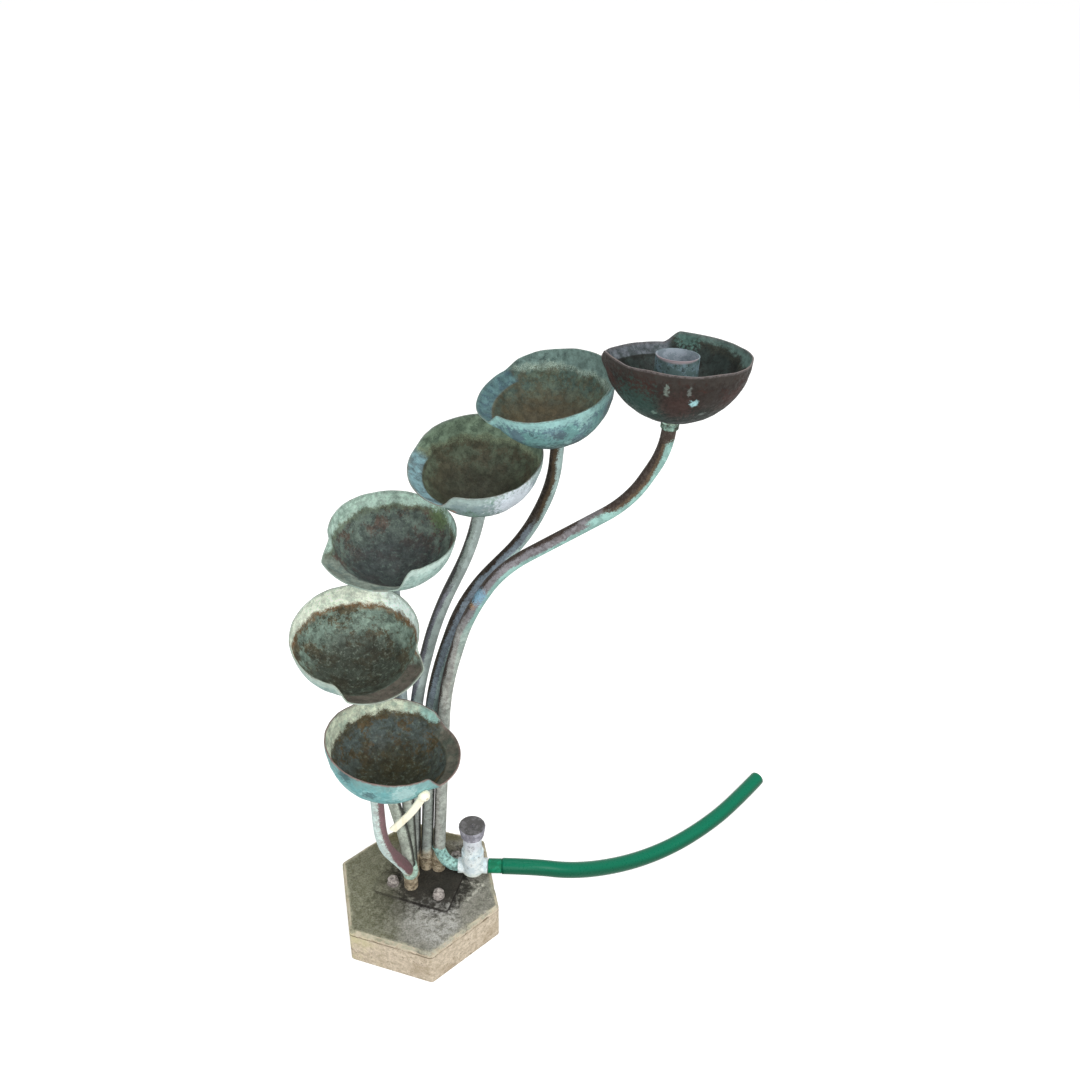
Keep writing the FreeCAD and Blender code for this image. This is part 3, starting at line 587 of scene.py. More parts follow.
paver_skin, paver_arris_share, paver_top_share = paver_grid()
paver = add_piece("paver", *capped_grid(paver_skin), weathered_concrete())
keep_values(paver, "arris", paver_arris_share, 0.0, 0.0)
keep_values(paver, "on_top", paver_top_share, -0.5, 1.0)
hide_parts("base_block")


# Bowls: six caps of hammered sheet copper.  The smith pressed a pouring lip out of one side of each,
# so that its rim runs down in an S at both ends of the lip.  Each is soldered to the top of its stem.

sheet_thick = 0.0015
lip_strip_drop = 0.013
lip_curl = 0.06
s_width = 14
bowl_columns = 288
low_rows = 64
high_rows = 24
blow_count = 420
blow_radius = 0.0075
blow_ball = 0.076
dish_depth = 0.00045
dent_depth = 0.00054
sheet_inset = 0.0005
rim_wave = 0.001

# Angles are in degrees.  Lean is how far a bowl tips, towards where, and pour where its lip looks.
# Span is half the lip's angle, reach its flare, greatest at swing, and drop its depth under the rim.
# Water is the height of the water line from the rim's middle.  Outside tones: ground, bloom, dark and
# the strip under the rim; low is the tone away from the rim, darker as painted shade towards the bottom.
# Band tones: main, patches and the right-hand side.  A mark is a place, a radius, how many times taller
# than wide it is, and a tone.
bowls = [
    {"radius": 0.078, "depth": 0.074, "rim": (0.29, 0.0636, 0.8363), "lean": 9.7, "towards": 78,
     "pour": 135, "span": 46, "reach": 0.002, "swing": 0, "drop": 0.013, "water": -0.02,
     "outside": ((40, 33, 29), (52, 35, 30), (28, 27, 26), (50, 46, 42)), "low": (28, 40, 36),
     "band": ((88, 110, 104), (50, 62, 58), (98, 122, 116)), "wall": ((50, 60, 57), (40, 44, 41)),
     "pool": (34, 36, 33), "stain": (64, 66, 58), "lip": ((96, 102, 108), (70, 78, 80)),
     "edge": (104, 98, 98),
     "outer_marks": [((0.244, 0.006, 0.801), 0.03, 1.0, (40, 66, 60)),
                     ((0.286, -0.01, 0.808), 0.02, 1.0, (54, 38, 34)),
                     ((0.3014, -0.0092, 0.8165), 0.0044, 1.0, (160, 206, 210)),
                     ((0.2731, -0.0118, 0.829), 0.0028, 3.0, (112, 124, 116)),
                     ((0.2952, -0.0136, 0.83), 0.0022, 3.0, (96, 102, 98)),
                     ((0.2642, 0.0043, 0.7976), 0.003, 1.0, (104, 128, 118)),
                     ((0.312, 0.0015, 0.7994), 0.0034, 1.0, (96, 104, 100))],
     "inner_marks": [((0.308, 0.133, 0.82), 0.013, 1.0, (86, 118, 110))]},
    {"radius": 0.076, "depth": 0.072, "rim": (0.1575, 0.133, 0.7583), "lean": 11.4, "towards": 198,
     "pour": 170, "span": 46, "reach": 0.01, "swing": -14, "drop": 0.014, "water": -0.012,
     "outside": ((108, 154, 152), (98, 126, 136), (58, 70, 80), (160, 206, 202)), "low": (50, 68, 66),
     "band": ((112, 136, 130), (60, 78, 74), (118, 142, 136)), "wall": ((76, 94, 86), (92, 106, 92)),
     "pool": (84, 74, 54), "stain": (156, 176, 164), "lip": ((80, 110, 112), (66, 90, 98)),
     "edge": (104, 126, 120),
     "outer_marks": [((0.229, 0.123, 0.74), 0.028, 1.0, (54, 68, 60)),
                     ((0.1717, 0.0652, 0.7307), 0.009, 1.0, (74, 88, 98)),
                     ((0.1975, 0.0685, 0.7604), 0.011, 2.0, (164, 208, 204))],
     "inner_marks": []},
    {"radius": 0.076, "depth": 0.072, "rim": (0.079, 0.1315, 0.6653), "lean": 10.3, "towards": 252,
     "pour": 202, "span": 44, "reach": 0.009, "swing": -16, "drop": 0.016, "water": -0.016,
     "outside": ((108, 140, 126), (138, 158, 160), (78, 96, 90), (168, 188, 184)), "low": (78, 102, 92),
     "band": ((126, 146, 124), (76, 92, 78), (118, 138, 118)), "wall": ((90, 99, 82), (84, 82, 66)),
     "pool": (61, 60, 48), "stain": (132, 144, 118), "lip": ((118, 150, 156), (98, 118, 122)),
     "edge": (122, 132, 126),
     "outer_marks": [((0.0527, 0.0799, 0.6191), 0.0045, 1.0, (186, 132, 116)),
                     ((0.125, 0.08, 0.635), 0.03, 1.0, (214, 222, 232))],
     "inner_marks": [((0.138, 0.118, 0.625), 0.02, 1.0, (62, 50, 34))]},
    {"radius": 0.076, "depth": 0.072, "rim": (-0.02, 0.0985, 0.5799), "lean": 5.9, "towards": 314,
     "pour": 246, "span": 41, "reach": 0.015, "swing": -16, "drop": 0.02, "water": -0.013,
     "outside": ((176, 204, 196), (156, 184, 176), (104, 128, 124), (204, 224, 216)), "low": (118, 144, 138),
     "band": ((190, 216, 202), (142, 172, 156), (186, 216, 206)), "wall": ((104, 117, 108), (94, 82, 74)),
     "pool": (56, 61, 62), "stain": (116, 128, 106), "lip": ((118, 128, 118), (94, 108, 102)),
     "edge": (130, 148, 138), "outer_marks": [],
     "inner_marks": [((0.032, 0.15, 0.564), 0.016, 1.0, (104, 124, 86))]},
    {"radius": 0.076, "depth": 0.072, "rim": (-0.0595, 0.013, 0.491), "lean": 12.2, "towards": 276,
     "pour": 304, "span": 40, "reach": 0.015, "swing": 10, "drop": 0.02, "water": -0.012,
     "outside": ((150, 180, 176), (172, 194, 184), (112, 138, 136), (190, 208, 198)), "low": (110, 140, 136),
     "band": ((240, 248, 230), (206, 222, 204), (232, 250, 246)), "wall": ((126, 146, 134), (94, 88, 70)),
     "pool": (56, 56, 47), "stain": (132, 100, 70), "lip": ((88, 82, 74), (74, 73, 64)),
     "edge": (150, 164, 152),
     "outer_marks": [],
     "inner_marks": [((-0.07, 0.035, 0.455), 0.01, 1.0, (150, 116, 76))]},
    {"radius": 0.076, "depth": 0.072, "rim": (-0.0145, -0.0635, 0.3967), "lean": 7.4, "towards": 28,
     "pour": 0, "span": 44, "reach": 0.008, "swing": 0, "drop": 0.016, "water": -0.021,
     "outside": ((110, 168, 170), (140, 188, 188), (54, 96, 100), (122, 160, 158)), "low": (92, 144, 146),
     "band": ((208, 216, 194), (156, 178, 162), (150, 198, 192)), "wall": ((80, 90, 88), (86, 74, 54)),
     "pool": (56, 54, 38), "stain": (86, 78, 58), "lip": ((96, 94, 84), (82, 88, 78)),
     "edge": (130, 112, 106),
     "outer_marks": [((-0.0582, -0.1253, 0.4012), 0.01, 1.0, (58, 88, 92)),
                     ((-0.0317, -0.1342, 0.3798), 0.008, 1.0, (74, 104, 108)),
                     ((0.0095, -0.133, 0.3815), 0.016, 1.0, (164, 196, 194))],
     "inner_marks": []},
]


def bowl_matrix(bowl):
    """Carries a bowl from its own frame, lip towards +X, to its place: turned to pour, then leaned."""
    square_to_lean = math.radians(bowl["towards"] + 90)
    hinge = Vector((math.cos(square_to_lean), math.sin(square_to_lean), 0))
    return (Matrix.Translation(bowl["rim"]) @ Matrix.Rotation(math.radians(bowl["lean"]), 4, hinge)
            @ Matrix.Rotation(math.radians(bowl["pour"]), 4, "Z"))


def sphere_section(ball, centre, polar):
    """How far out and how high a ball's surface lies at these angles from its lowest point."""
    return np.stack([ball * np.sin(polar), centre - ball * np.cos(polar)], -1)


def bowl_sheet(bowl):
    """The outer face of a bowl in its own frame, as a grid closed round, and each point's lip share.

    The angle runs round the bowl.  Rows climb the sphere from the pole to the height of the crease;
    above it each section is a blend of the sphere's own arc and the lip's flared arc, by a smooth
    step of the angle that takes 14 degrees, which gives the S at both ends of the lip.  The lip's
    flare is greatest swing degrees from its middle, and dies away with the cube of the angle."""
    rim_radius, depth, span = bowl["radius"], bowl["depth"], bowl["span"]
    ball = (rim_radius ** 2 + depth ** 2) / (2 * depth)
    centre = ball - depth
    crease = -(bowl["drop"] + lip_strip_drop)
    angle = np.arange(bowl_columns) / bowl_columns * 2 * math.pi
    turned = np.degrees((angle + math.pi) % (2 * math.pi) - math.pi)
    share = np.clip((span + s_width / 2 - np.abs(turned)) / s_width, 0, 1)
    share = (share * share * (3 - 2 * share))[None, :, None]
    polar_crease = math.acos((centre - crease) / ball)
    low_section = sphere_section(ball, centre, np.linspace(0.02, polar_crease, low_rows))
    above_crease = np.linspace(polar_crease, math.acos(centre / ball), high_rows + 1)[1:]
    wall_section = sphere_section(ball, centre, above_crease)
    root = low_section[-1]
    from_middle = np.abs(turned - bowl["swing"]) / (span + s_width / 2 + abs(bowl["swing"]))
    reach = bowl["reach"] * (1 - np.clip(from_middle, 0, 1) ** 3)
    run = np.stack([rim_radius + reach, np.full(bowl_columns, -bowl["drop"])], -1) - root
    step = np.linspace(0, 1, high_rows + 1)[1:, None, None]
    outwards = np.stack([run[:, 1], -run[:, 0]], -1)
    lip_section = root + run * step + outwards * lip_curl * 4 * step * (1 - step)
    lower = np.repeat(low_section[:, None], bowl_columns, 1)
    upper = wall_section[:, None] * (1 - share) + lip_section * share
    section = np.concatenate([lower, upper])
    lip_share = np.concatenate([np.zeros((low_rows, bowl_columns)), np.repeat(share[..., 0], high_rows, 0)])
    out, up = section[..., 0], section[..., 1]
    return np.stack([out * np.cos(angle), out * np.sin(angle), up], -1), lip_share


def hammered(grid, seed):
    """How deep the sheet lies under its true form: dishes left by the hammer, and broad dents.

    The blows fall at random on the lower half of a ball.  Each dish is 1 minus the square of the
    distance from the nearest blow, in radii of a blow, and the dents are noise."""
    random = np.random.default_rng(seed)
    blows = random.normal(size=(blow_count, 3))
    blows[:, 2] = -np.abs(blows[:, 2])
    blows *= blow_ball / np.linalg.norm(blows, axis=1, keepdims=True)
    flat = grid.reshape(-1, 3)
    nearest = np.full(len(flat), 1.0)
    for blow in blows:
        nearest = np.minimum(nearest, ((flat - blow) ** 2).sum(1))
    dish = dish_depth * np.clip(1 - nearest / blow_radius ** 2, 0, 1).reshape(grid.shape[:2])
    dents = dent_depth * np.clip(layered_noise(grid, 0.034, seed, 2), -1, 1)
    return dish + sheet_inset + dents


def bowl_points(bowl, number):
    """The worked sheet of one bowl in its place, with each point's distance from the rim and lip share.

    The rim waves up and down by noise that dies away with the distance from it."""
    grid, lip_share = bowl_sheet(bowl)
    lengths = np.linalg.norm(np.diff(grid, axis=0), axis=-1)
    from_edge = np.concatenate([np.cumsum(lengths[::-1], axis=0)[::-1], np.zeros((1, bowl_columns))])
    worked_sheet = grid - surface_normals(grid) * hammered(grid, number * 17)[..., None]
    rimward = np.exp(-from_edge / 0.012)
    worked_sheet[..., 2] -= rimward * rim_wave * (0.4 + lattice_noise(grid, 0.024, number * 31))
    matrix = np.array(bowl_matrix(bowl))
    return worked_sheet @ matrix[:3, :3].T + matrix[:3, 3], from_edge, lip_share


def runs(place, size, share):
    """Streaks that water leaves on its way down: noise drawn out along +Z, broken into lengths."""
    cell = scaled(place, size)
    streak = cloud(scaled(cell, (1.0, 1.0, 9.0)), 3.0, 0.6)
    breaks = cloud(scaled(cell, (2.0, 2.0, 5.0)), 2.0)
    limit = 0.7 - share * 0.4
    return [ramp_up(streak * 0.7 + breaks * 0.3 - limit, -0.03, 0.03)]


def grime(place, size, share):
    """A brightness that varies in coarse and fine blotches at once, for colours that are never even."""
    blotch = ramp_up(cloud(scaled(place, size), 6.0, 0.78), 0.32, 0.68, -1.0, 1.0)
    return [1.0 + blotch * share]


runs_group = shared_group("runs", patterned, {"Mask": "Float"}, runs)
grime_group = shared_group("grime", patterned, {"Value": "Float"}, grime)


def shifted(place, seed):
    """A place moved far off by a seed, so that like patterns differ from piece to piece."""
    return vectors("ADD", place, (seed * 1.37, seed * 0.71, seed * 2.11))


def grimed(colour, place, size, share):
    """A colour made uneven by the grime effect."""
    [brightness] = laid(grime_group, place, size, share)
    return mixed(1.0, colour, brightness, "MULTIPLY")


def marked(colour, place, grain, marks):
    """Single spots and drips laid over a colour, each at its own place, with a frayed outline."""
    for spot, radius, stretch, tone in marks:
        off = scaled(vectors("SUBTRACT", place, spot), (1.0, 1.0, stretch))
        far = vectors("LENGTH", off) + (grain - 0.5) * (radius * 3.0)
        colour = mixed(ramp_up(far, radius * 1.3, radius * 0.5, 0.0, 0.85), colour, tone)
    return colour


def bowl_outside(bowl, number):
    """Verdigris over brown copper: ragged tones, pale runs, a lighter strip under the rim, a worn edge,
    and painted shade that darkens it towards the bottom.
    """
    material = blank_material("bowl_%d_outside" % number)
    true_place = object_place(material)
    place = shifted(true_place, number)
    ground, bloom, dark, strip = bowl["outside"]
    patches, grain = laid(mottle_group, place, 0.034, 0.46)
    darks, _ = laid(mottle_group, shifted(place, 3), 0.017, 0.24)
    small, _ = laid(mottle_group, shifted(place, 6), 0.006, 0.3)
    [streaks] = laid(runs_group, place, 0.01, 0.3)
    from_edge = kept(material, "from_edge")
    frayed_edge = from_edge + (grain - 0.5) * 0.036
    colour = mixed(patches, ground, bloom)
    # Low tone away from the rim: painted shade that darkens the outside towards the bottom.
    colour = mixed(ramp_up(frayed_edge, 0.03, 0.06, 0.0, 0.85), colour, bowl["low"])
    colour = mixed(darks * 0.66, colour, dark)
    colour = mixed(small * 0.25, colour, dark)
    colour = mixed(streaks * 0.35, colour, strip)
    colour = mixed(ramp_up(frayed_edge, 0.017, 0.006, 0.0, 0.75), colour, strip)
    rubbed = ramp_up(from_edge, 0.003, 0.0008) * ramp_up(grain, 0.4, 0.6, 0.2, 0.75)
    colour = mixed(rubbed, colour, bowl["edge"])
    colour = marked(colour, true_place, grain, bowl["outer_marks"])
    colour = grimed(colour, shifted(place, 8), 0.012, 0.16)
    return skin(material, colour, ramp_up(grain, 0.3, 0.7, 0.55, 0.82), Metallic=0.08,
                Normal=bumped(grain + small * 0.6, 0.35, 0.0009))


def bowl_inside(bowl, number):
    """The wetted side: lime over the water line, a stained line, mottles under it and a dark pool."""
    material = blank_material("bowl_%d_inside" % number)
    true_place = object_place(material)
    place = shifted(true_place, number + 10)
    along_x, _, height = coordinates(true_place)
    patches, grain = laid(mottle_group, place, 0.026, 0.46)
    small, small_grain = laid(mottle_group, shifted(place, 5), 0.01, 0.42)
    tiny, _ = laid(mottle_group, shifted(place, 2), 0.0045, 0.3)
    wander = cloud(scaled(place, 0.016), 6.0, 0.72) - 0.5
    ragged = wander * 0.026
    over_water = height - (bowl["rim"][2] + bowl["water"]) + ragged
    rightwards = along_x - bowl["rim"][0] + wander * 0.08
    band, band_other, band_right = bowl["band"]
    pool = bowl["pool"]
    low = mixed(patches, *bowl["wall"])
    low = mixed(small * 0.55, low, pool)
    low = mixed(ramp_up(over_water, -0.018, -0.046, 0.0, 0.85), low, pool)
    low = mixed(tiny * 0.17, low, band_other)
    high = mixed(small * 0.6, band, band_other)
    high = mixed(ramp_up(rightwards, 0.005, 0.045, 0.0, 0.85), high, band_right)
    colour = mixed(ramp_up(over_water, -0.0022, 0.0022), low, high)
    line = ramp_up(over_water, -0.009, -0.002) * ramp_up(over_water, 0.005, -0.001)
    colour = mixed(line * ramp_up(small_grain, 0.38, 0.58), colour, bowl["stain"])
    colour = marked(colour, true_place, grain, bowl["inner_marks"])
    on_lip = ramp_up(kept(material, "lip") + ragged * 40.0, 0.3, 0.95)
    colour = mixed(on_lip, colour, mixed(small, *bowl["lip"]))
    # Painted shade along the crease where the lip folds out from the wall, in the pool's tone.
    colour = mixed(ramp_up(kept(material, "crease"), 0.0, 1.0) * 0.5, colour, pool)
    rubbed = ramp_up(kept(material, "from_edge"), 0.0045, 0.0015)
    colour = mixed(rubbed * ramp_up(small_grain, 0.35, 0.65, 0.1, 0.65), colour, bowl["edge"])
    colour = grimed(colour, shifted(place, 8), 0.01, 0.36)
    return skin(material, colour, ramp_up(over_water, -0.03, 0.0, 0.5, 0.8),
                Metallic=0.05, Normal=bumped(grain + small * 0.7, 0.45, 0.0011))


def bowl_rim(bowl, number):
    """The cut edge of the sheet, rubbed back to brown copper here and there."""
    material = blank_material("bowl_%d_rim" % number)
    worn, grain = laid(mottle_group, shifted(object_place(material), number + 20), 0.018, 0.45)
    colour = mixed(worn * 0.5, bowl["edge"], (108, 92, 82))
    return skin(material, colour, 0.5, Metallic=0.25, Normal=bumped(grain, 0.3, 0.0005))


def finish_sheet(piece):
    """Gives a sheet its thickness inwards, the material of its inside and rim, and a broken edge."""
    wall = piece.modifiers.new("thickness", "SOLIDIFY")
    wall.thickness = sheet_thick
    wall.offset = -1.0
    wall.use_even_offset = True
    wall.material_offset = 1
    wall.material_offset_rim = 2
    edge = piece.modifiers.new("broken_edge", "BEVEL")
    edge.width = sheet_thick * 0.28
    edge.segments = 2
    edge.limit_method = "ANGLE"
    edge.angle_limit = math.radians(55)
    edge.use_clamp_overlap = True


for number, bowl in enumerate(bowls, 1):
    placed, from_edge, lip_share = bowl_points(bowl, number)
    rows, columns = placed.shape[:2]
    points = np.concatenate([placed.reshape(-1, 3), placed[0].mean(0)[None]])
    faces = [grid_faces(rows, columns), fan_faces(np.arange(columns), rows * columns, False)]
    piece = add_piece("copper_bowl_%d" % number, points, faces, bowl_outside(bowl, number))
    piece.data.materials.append(bowl_inside(bowl, number))
    piece.data.materials.append(bowl_rim(bowl, number))
    rows_from_crease = np.arange(rows)[:, None] - (low_rows - 1)
    keep_values(piece, "from_edge", from_edge, 0.1)
    keep_values(piece, "lip", lip_share, 0.0)
    # Crease marks the rows at the lip's fold, which the inside darkens with painted shade.
    keep_values(piece, "crease", np.exp(-(rows_from_crease / 1.6) ** 2) * lip_share[-1], 0.0)
    finish_sheet(piece)
    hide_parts("bowl_%d" % number)


# Stems: 16 mm copper tubes, bent by hand.  On most, the side that looks up and to the left is dark brown
# copper with no crust, its darkness also painted shade, and the other has grown a crust of verdigris
# that also carries a painted highlight.  Near the ground all turn dull and sandy.

upper_left = (-0.72, 0.28, 0.63)
cluster_middle = (0.012, 0.018, 0.0)
sandy_up_to = 0.095

# Split, narrows and ragged set the edge of the dark side, uncrusted and painted in shade, and changes_at
# is the height over which it no longer narrows.  A wrap of crust is a height and half its length; a mark
# is as on the bowls.
common_look = {"bare_and_shaded_side": upper_left, "narrows": 0.0, "ragged": 1.6, "mould_and_shade": 0.9, "wraps": [], "marks": []}
stem_looks = [
    {"split": 0.22, "narrows": 0.38, "changes_at": 0.64, "dull_from": 0.54,
     "brown": (58, 48, 42), "upper_core": (98, 84, 68), "core": (136, 134, 138),
     "crust": (150, 190, 182), "crust_top": 0.742, "low": (184, 186, 178), "wraps": [(0.645, 0.008)],
     "marks": [((0.0744, 0.0204, 0.528), 0.006, 1.0, (170, 134, 92)),
               ((0.082, 0.0213, 0.541), 0.011, 1.0, (128, 172, 196))]},
    {"split": 0.1, "narrows": 0.34, "changes_at": 0.58, "dull_from": 0.4,
     "brown": (48, 40, 33), "upper_core": (82, 70, 54), "core": (124, 136, 146),
     "crust": (166, 190, 186), "crust_top": 0.684, "low": (176, 184, 176)},
    {"split": 0.5, "changes_at": 0.51, "dull_from": 0.36,
     "brown": (72, 70, 70), "upper_core": (160, 172, 166), "core": (130, 130, 140),
     "crust": (178, 192, 188), "low": (182, 188, 182)},
    {"split": 0.45, "changes_at": 0.43, "dull_from": 0.36,
     "brown": (62, 66, 74), "upper_core": (150, 160, 168), "core": (142, 150, 154),
     "crust": (178, 192, 192), "low": (176, 184, 170)},
    {"split": 0.5, "ragged": 2.0, "changes_at": 0.26, "dull_from": 0.4,
     "brown": (76, 70, 62), "upper_core": (168, 178, 166), "core": (164, 174, 162),
     "crust": (188, 204, 194), "low": (188, 196, 182)},
    {"bare_and_shaded_side": (0.8, -0.1, 0.59), "split": 0.36, "narrows": -0.4, "ragged": 0.9,
     "changes_at": 0.17, "dull_from": 0.1, "mould_and_shade": 0.2,
     "brown": (130, 98, 102), "upper_core": (212, 230, 224), "core": (212, 230, 222),
     "crust": (220, 240, 236), "low": (210, 230, 222)},
]


def dress(material, *names):
    """Gives CAD nodes a material."""
    for name in names:
        for place in nodes[name].material_slots:
            place.material = material


def shade_and_mould_between_tubes(material, true_place, along, fray, strength):
    """Painted shade and mould low on the flanks that a tube turns to its neighbours, not on the group's
    outside.
    """
    outwards = vectors("MULTIPLY", vectors("SUBTRACT", true_place, cluster_middle), (1.0, 1.0, 0.0))
    outside = facing_share(material, vectors("NORMALIZE", outwards))
    flank = ramp_up(abs(coordinates(surface_direction(material))[0]) + fray * 0.5, 0.58, 0.86)
    return flank * ramp_up(outside, 0.55, 0.15) * ramp_up(along, 0.36, 0.22, 0.0, strength)


def weathered_tube_with_painted_shading(number, look):
    """Tube patina and painted shading in three strips along the tube: dark uncrusted copper, also painted
    shade, on one side, a dull core between, pale crust, also a painted highlight, on the other.  At each
    wrap the crust takes the whole width; over crust_top there is none.  Low down it all turns grey, near
    black with mould and painted shade where the tubes flank each other, and sandy at the foot."""
    material = blank_material("stem_%d_patina" % number)
    true_place = object_place(material)
    place = shifted(true_place, number)
    height = coordinates(true_place)[2]
    flakes, grain = laid(mottle_group, place, 0.014, 0.5)
    small, small_grain = laid(mottle_group, shifted(place, 7), 0.0045, 0.42)
    long_wave = cloud(scaled(place, (0.05, 0.05, 0.09)), 3.0, 0.6) - 0.5
    fray = (grain - 0.5) * 0.9 + (small_grain - 0.5) * 0.7
    along = height + long_wave * 0.12
    unevenly = height + fray * 0.02

    strip = facing_share(material, look["bare_and_shaded_side"]) - look["split"] + (long_wave * look["ragged"] + fray)
    for middle, half in look["wraps"]:
        strip = strip - ramp_up(abs(unevenly - middle), half + 0.002, half - 0.002, 0.0, 0.6)
    if "crust_top" in look:
        strip = strip + ramp_up(unevenly, look["crust_top"] - 0.006, look["crust_top"] + 0.003, 0.0, 1.2)
    above = ramp_up(along, look["changes_at"] - 0.02, look["changes_at"] + 0.02)
    narrowed = ramp_up(above, 0.0, 1.0, look["narrows"], 0.0)
    # The dark side: uncrusted copper, whose darkness is also painted shade on that side of the tube.
    bare_and_shaded = ramp_up(strip - narrowed, -0.06, 0.1)

    pale = mixed(flakes, look["crust"], tuple(0.88 * np.array(look["crust"])))
    core = mixed(above, look["core"], look["upper_core"])
    core = mixed(1.0, core, ramp_up(flakes, 0.0, 1.0, 1.0, 0.8), "MULTIPLY")
    core = mixed(small * 0.4, core, look["brown"])
    dull = mixed(flakes, look["low"], tuple(0.84 * np.array(look["low"])))
    dull = mixed(small * 0.42, dull, (98, 92, 82))
    # Across the tube the pale crust side is also a painted highlight and the core its mid tone, so the
    # strips paint shading round the tube.
    colour = mixed(ramp_up(strip, -0.62, -0.4), pale, core)
    colour = mixed(ramp_up(along, look["dull_from"], look["dull_from"] - 0.12, 0.0, 0.88), colour, dull)
    colour = mixed(bare_and_shaded, colour, mixed(small * 0.4, look["brown"], (96, 88, 82)))
    colour = marked(colour, true_place, grain, look["marks"])
    # Near-black painted shade, with some mould, low where the tubes flank each other.
    colour = mixed(shade_and_mould_between_tubes(material, true_place, along, fray, look["mould_and_shade"]), colour, (38, 35, 31))
    foot = mixed(small, (196, 184, 160), (146, 132, 110))
    colour = mixed(ramp_up(along, sandy_up_to + 0.009, sandy_up_to - 0.009, 0.0, 0.9), colour, foot)
    return skin(material, colour, ramp_up(bare_and_shaded, 0.0, 1.0, 0.82, 0.5), Metallic=bare_and_shaded * 0.2,
                Normal=bumped(flakes + grain - bare_and_shaded, 0.5, 0.0008))


for number, look in enumerate(stem_looks, 1):
    dress(weathered_tube_with_painted_shading(number, common_look | look), "stem_%d" % number)


# Joints of the copper work: sleeves, foot sockets and the feed branch, all soft-soldered.  Pale mint
# crust has grown over the solder, and lumpy beads of it stand where one piece meets the next.

bead_radius = 0.0093
bead_thick = 0.0011
bead_sink = 0.0004
branch_joint = (-0.0098, -0.007, 0.0985)


def crusted_fitting(name, seed, tone, other, dark, share=0.5):
    """Pale verdigris over a fitting, with dark pits."""
    material = blank_material(name)
    place = shifted(object_place(material), seed)
    flakes, grain = laid(mottle_group, place, 0.009, share)
    pits, _ = laid(mottle_group, shifted(place, 4), 0.004, 0.34)
    colour = mixed(flakes, tone, other)
    colour = mixed(pits * 0.7, colour, dark)
    return skin(material, colour, 0.82, Metallic=0.05,
                Normal=bumped(grain - pits * 0.8, 0.8, 0.001))


def circle(count):
    """Angles once round, evenly spaced."""
    return np.arange(count) / count * 2 * math.pi


def bead_ring(centre, seed):
    """A lumpy ring of solder round an upright tube, as a grid closed both ways.

    The point at angles (u, v) lies at the ring's radius plus thickness times cos v from the middle
    and at thickness times sin v above it, and thickness swells and shrinks with noise."""
    turn, round_it = circle(72), circle(12)
    spoke = np.stack([np.cos(turn), np.sin(turn), 0 * turn], -1)
    core = np.array(centre) + spoke * bead_radius
    swell = bead_thick * (1 + 0.45 * layered_noise(core, 0.007, seed, 2))[:, None, None]
    points = core[:, None] + swell * (np.cos(round_it)[:, None] * spoke[:, None]
                                      + np.sin(round_it)[:, None] * (0.0, 0.0, 1.0))
    return points.reshape(-1, 3), [grid_faces(*points.shape[:2], both_ways=True)[:, ::-1]]


def wrapped_crust(centre, inner_radius, height, swell, seed):
    """A lumpy wrap of crust round an upright tube, as a grid closed both ways.

    Its half profile is an ellipse half as high as the height and swell thick, which stands on the
    tube's skin; noise swells and shrinks it as it goes round."""
    turn, round_it = circle(64), circle(28)
    spoke = np.stack([np.cos(turn), np.sin(turn), 0 * turn], -1)
    skin_ring = np.array(centre) + spoke * inner_radius
    rise = height / 2 * np.sin(round_it)[:, None] * (0.0, 0.0, 1.0)
    outwards = swell * np.maximum(np.cos(round_it), -0.5)[:, None] * spoke[:, None]
    core = skin_ring[:, None] + rise + outwards
    lumps = layered_noise(core, 0.01, seed, 3)[..., None] * swell * 0.7
    points = core + lumps * np.maximum(np.cos(round_it), 0)[:, None] * spoke[:, None]
    points += 0.12 * rise * lattice_noise(skin_ring, 0.012, seed)[:, None, None]
    return points.reshape(-1, 3), [grid_faces(*points.shape[:2], both_ways=True)[:, ::-1]]


dress(crusted_fitting("solder_crust", 31, (146, 180, 166), (92, 104, 92), (58, 56, 48)), "bowl_collars")
dress(crusted_fitting("socket_crust", 32, (190, 176, 150), (146, 132, 110), (78, 70, 58)), "foot_sockets")
dress(crusted_fitting("branch_crust", 33, (180, 224, 214), (150, 192, 186), (96, 116, 108)), "feed_branch")

bead_crust = crusted_fitting("bead_crust", 34, (190, 222, 206), (166, 190, 172), (110, 112, 96), 0.4)
for number, bowl in enumerate(bowls, 1):
    seat = bowl_matrix(bowl) @ Vector((0, 0, -bowl["depth"])) - Vector((0, 0, bead_sink))
    bead = add_piece("solder_bead_%d" % number, *bead_ring(seat, number), bead_crust)
crust = add_piece("branch_joint_crust", *wrapped_crust(branch_joint, 0.008, 0.026, 0.0022, 77), bead_crust)


# Plate, studs, washers and nuts: mild steel, all rust-brown and black with dirt; the nuts were
# galvanised and have gone pale and furry.

def dirty_plate():
    """Steel under rust and the same dirt as the paver's top, with its cut edges nearly black."""
    material = blank_material("dirty_plate")
    place = object_place(material)
    rust, _ = laid(mottle_group, place, 0.022, 0.45)
    dirt = node("Group", {"Place": place}, node_tree=ground_dirt_group).outputs
    colour = mixed(rust, (52, 47, 42), (76, 68, 58))
    colour = mixed(0.85, colour, dirt["Color"])
    on_cut_edge = ramp_up(facing_share(material, (0.0, 0.0, 1.0)), 0.75, 0.35)
    rightwards = ramp_up(coordinates(place)[0], -0.04, 0.0, 0.35, 0.75)
    colour = mixed(on_cut_edge * rightwards, colour, (32, 29, 26))
    return skin(material, colour, 0.88, Metallic=0.1,
                Normal=bumped(dirt["Relief"], 0.6, 0.001))


dress(dirty_plate(), "base_plate")
dress(crusted_fitting("white_rust", 41, (196, 188, 182), (150, 142, 138), (86, 78, 74)),
      "plate_nuts", "plate_washers", "anchor_studs")


# Feed cup: a short open tube of sheet copper that breaks the water's rise in the top bowl, held to
# it by a nut.  Its edge is rubbed pinkish grey.

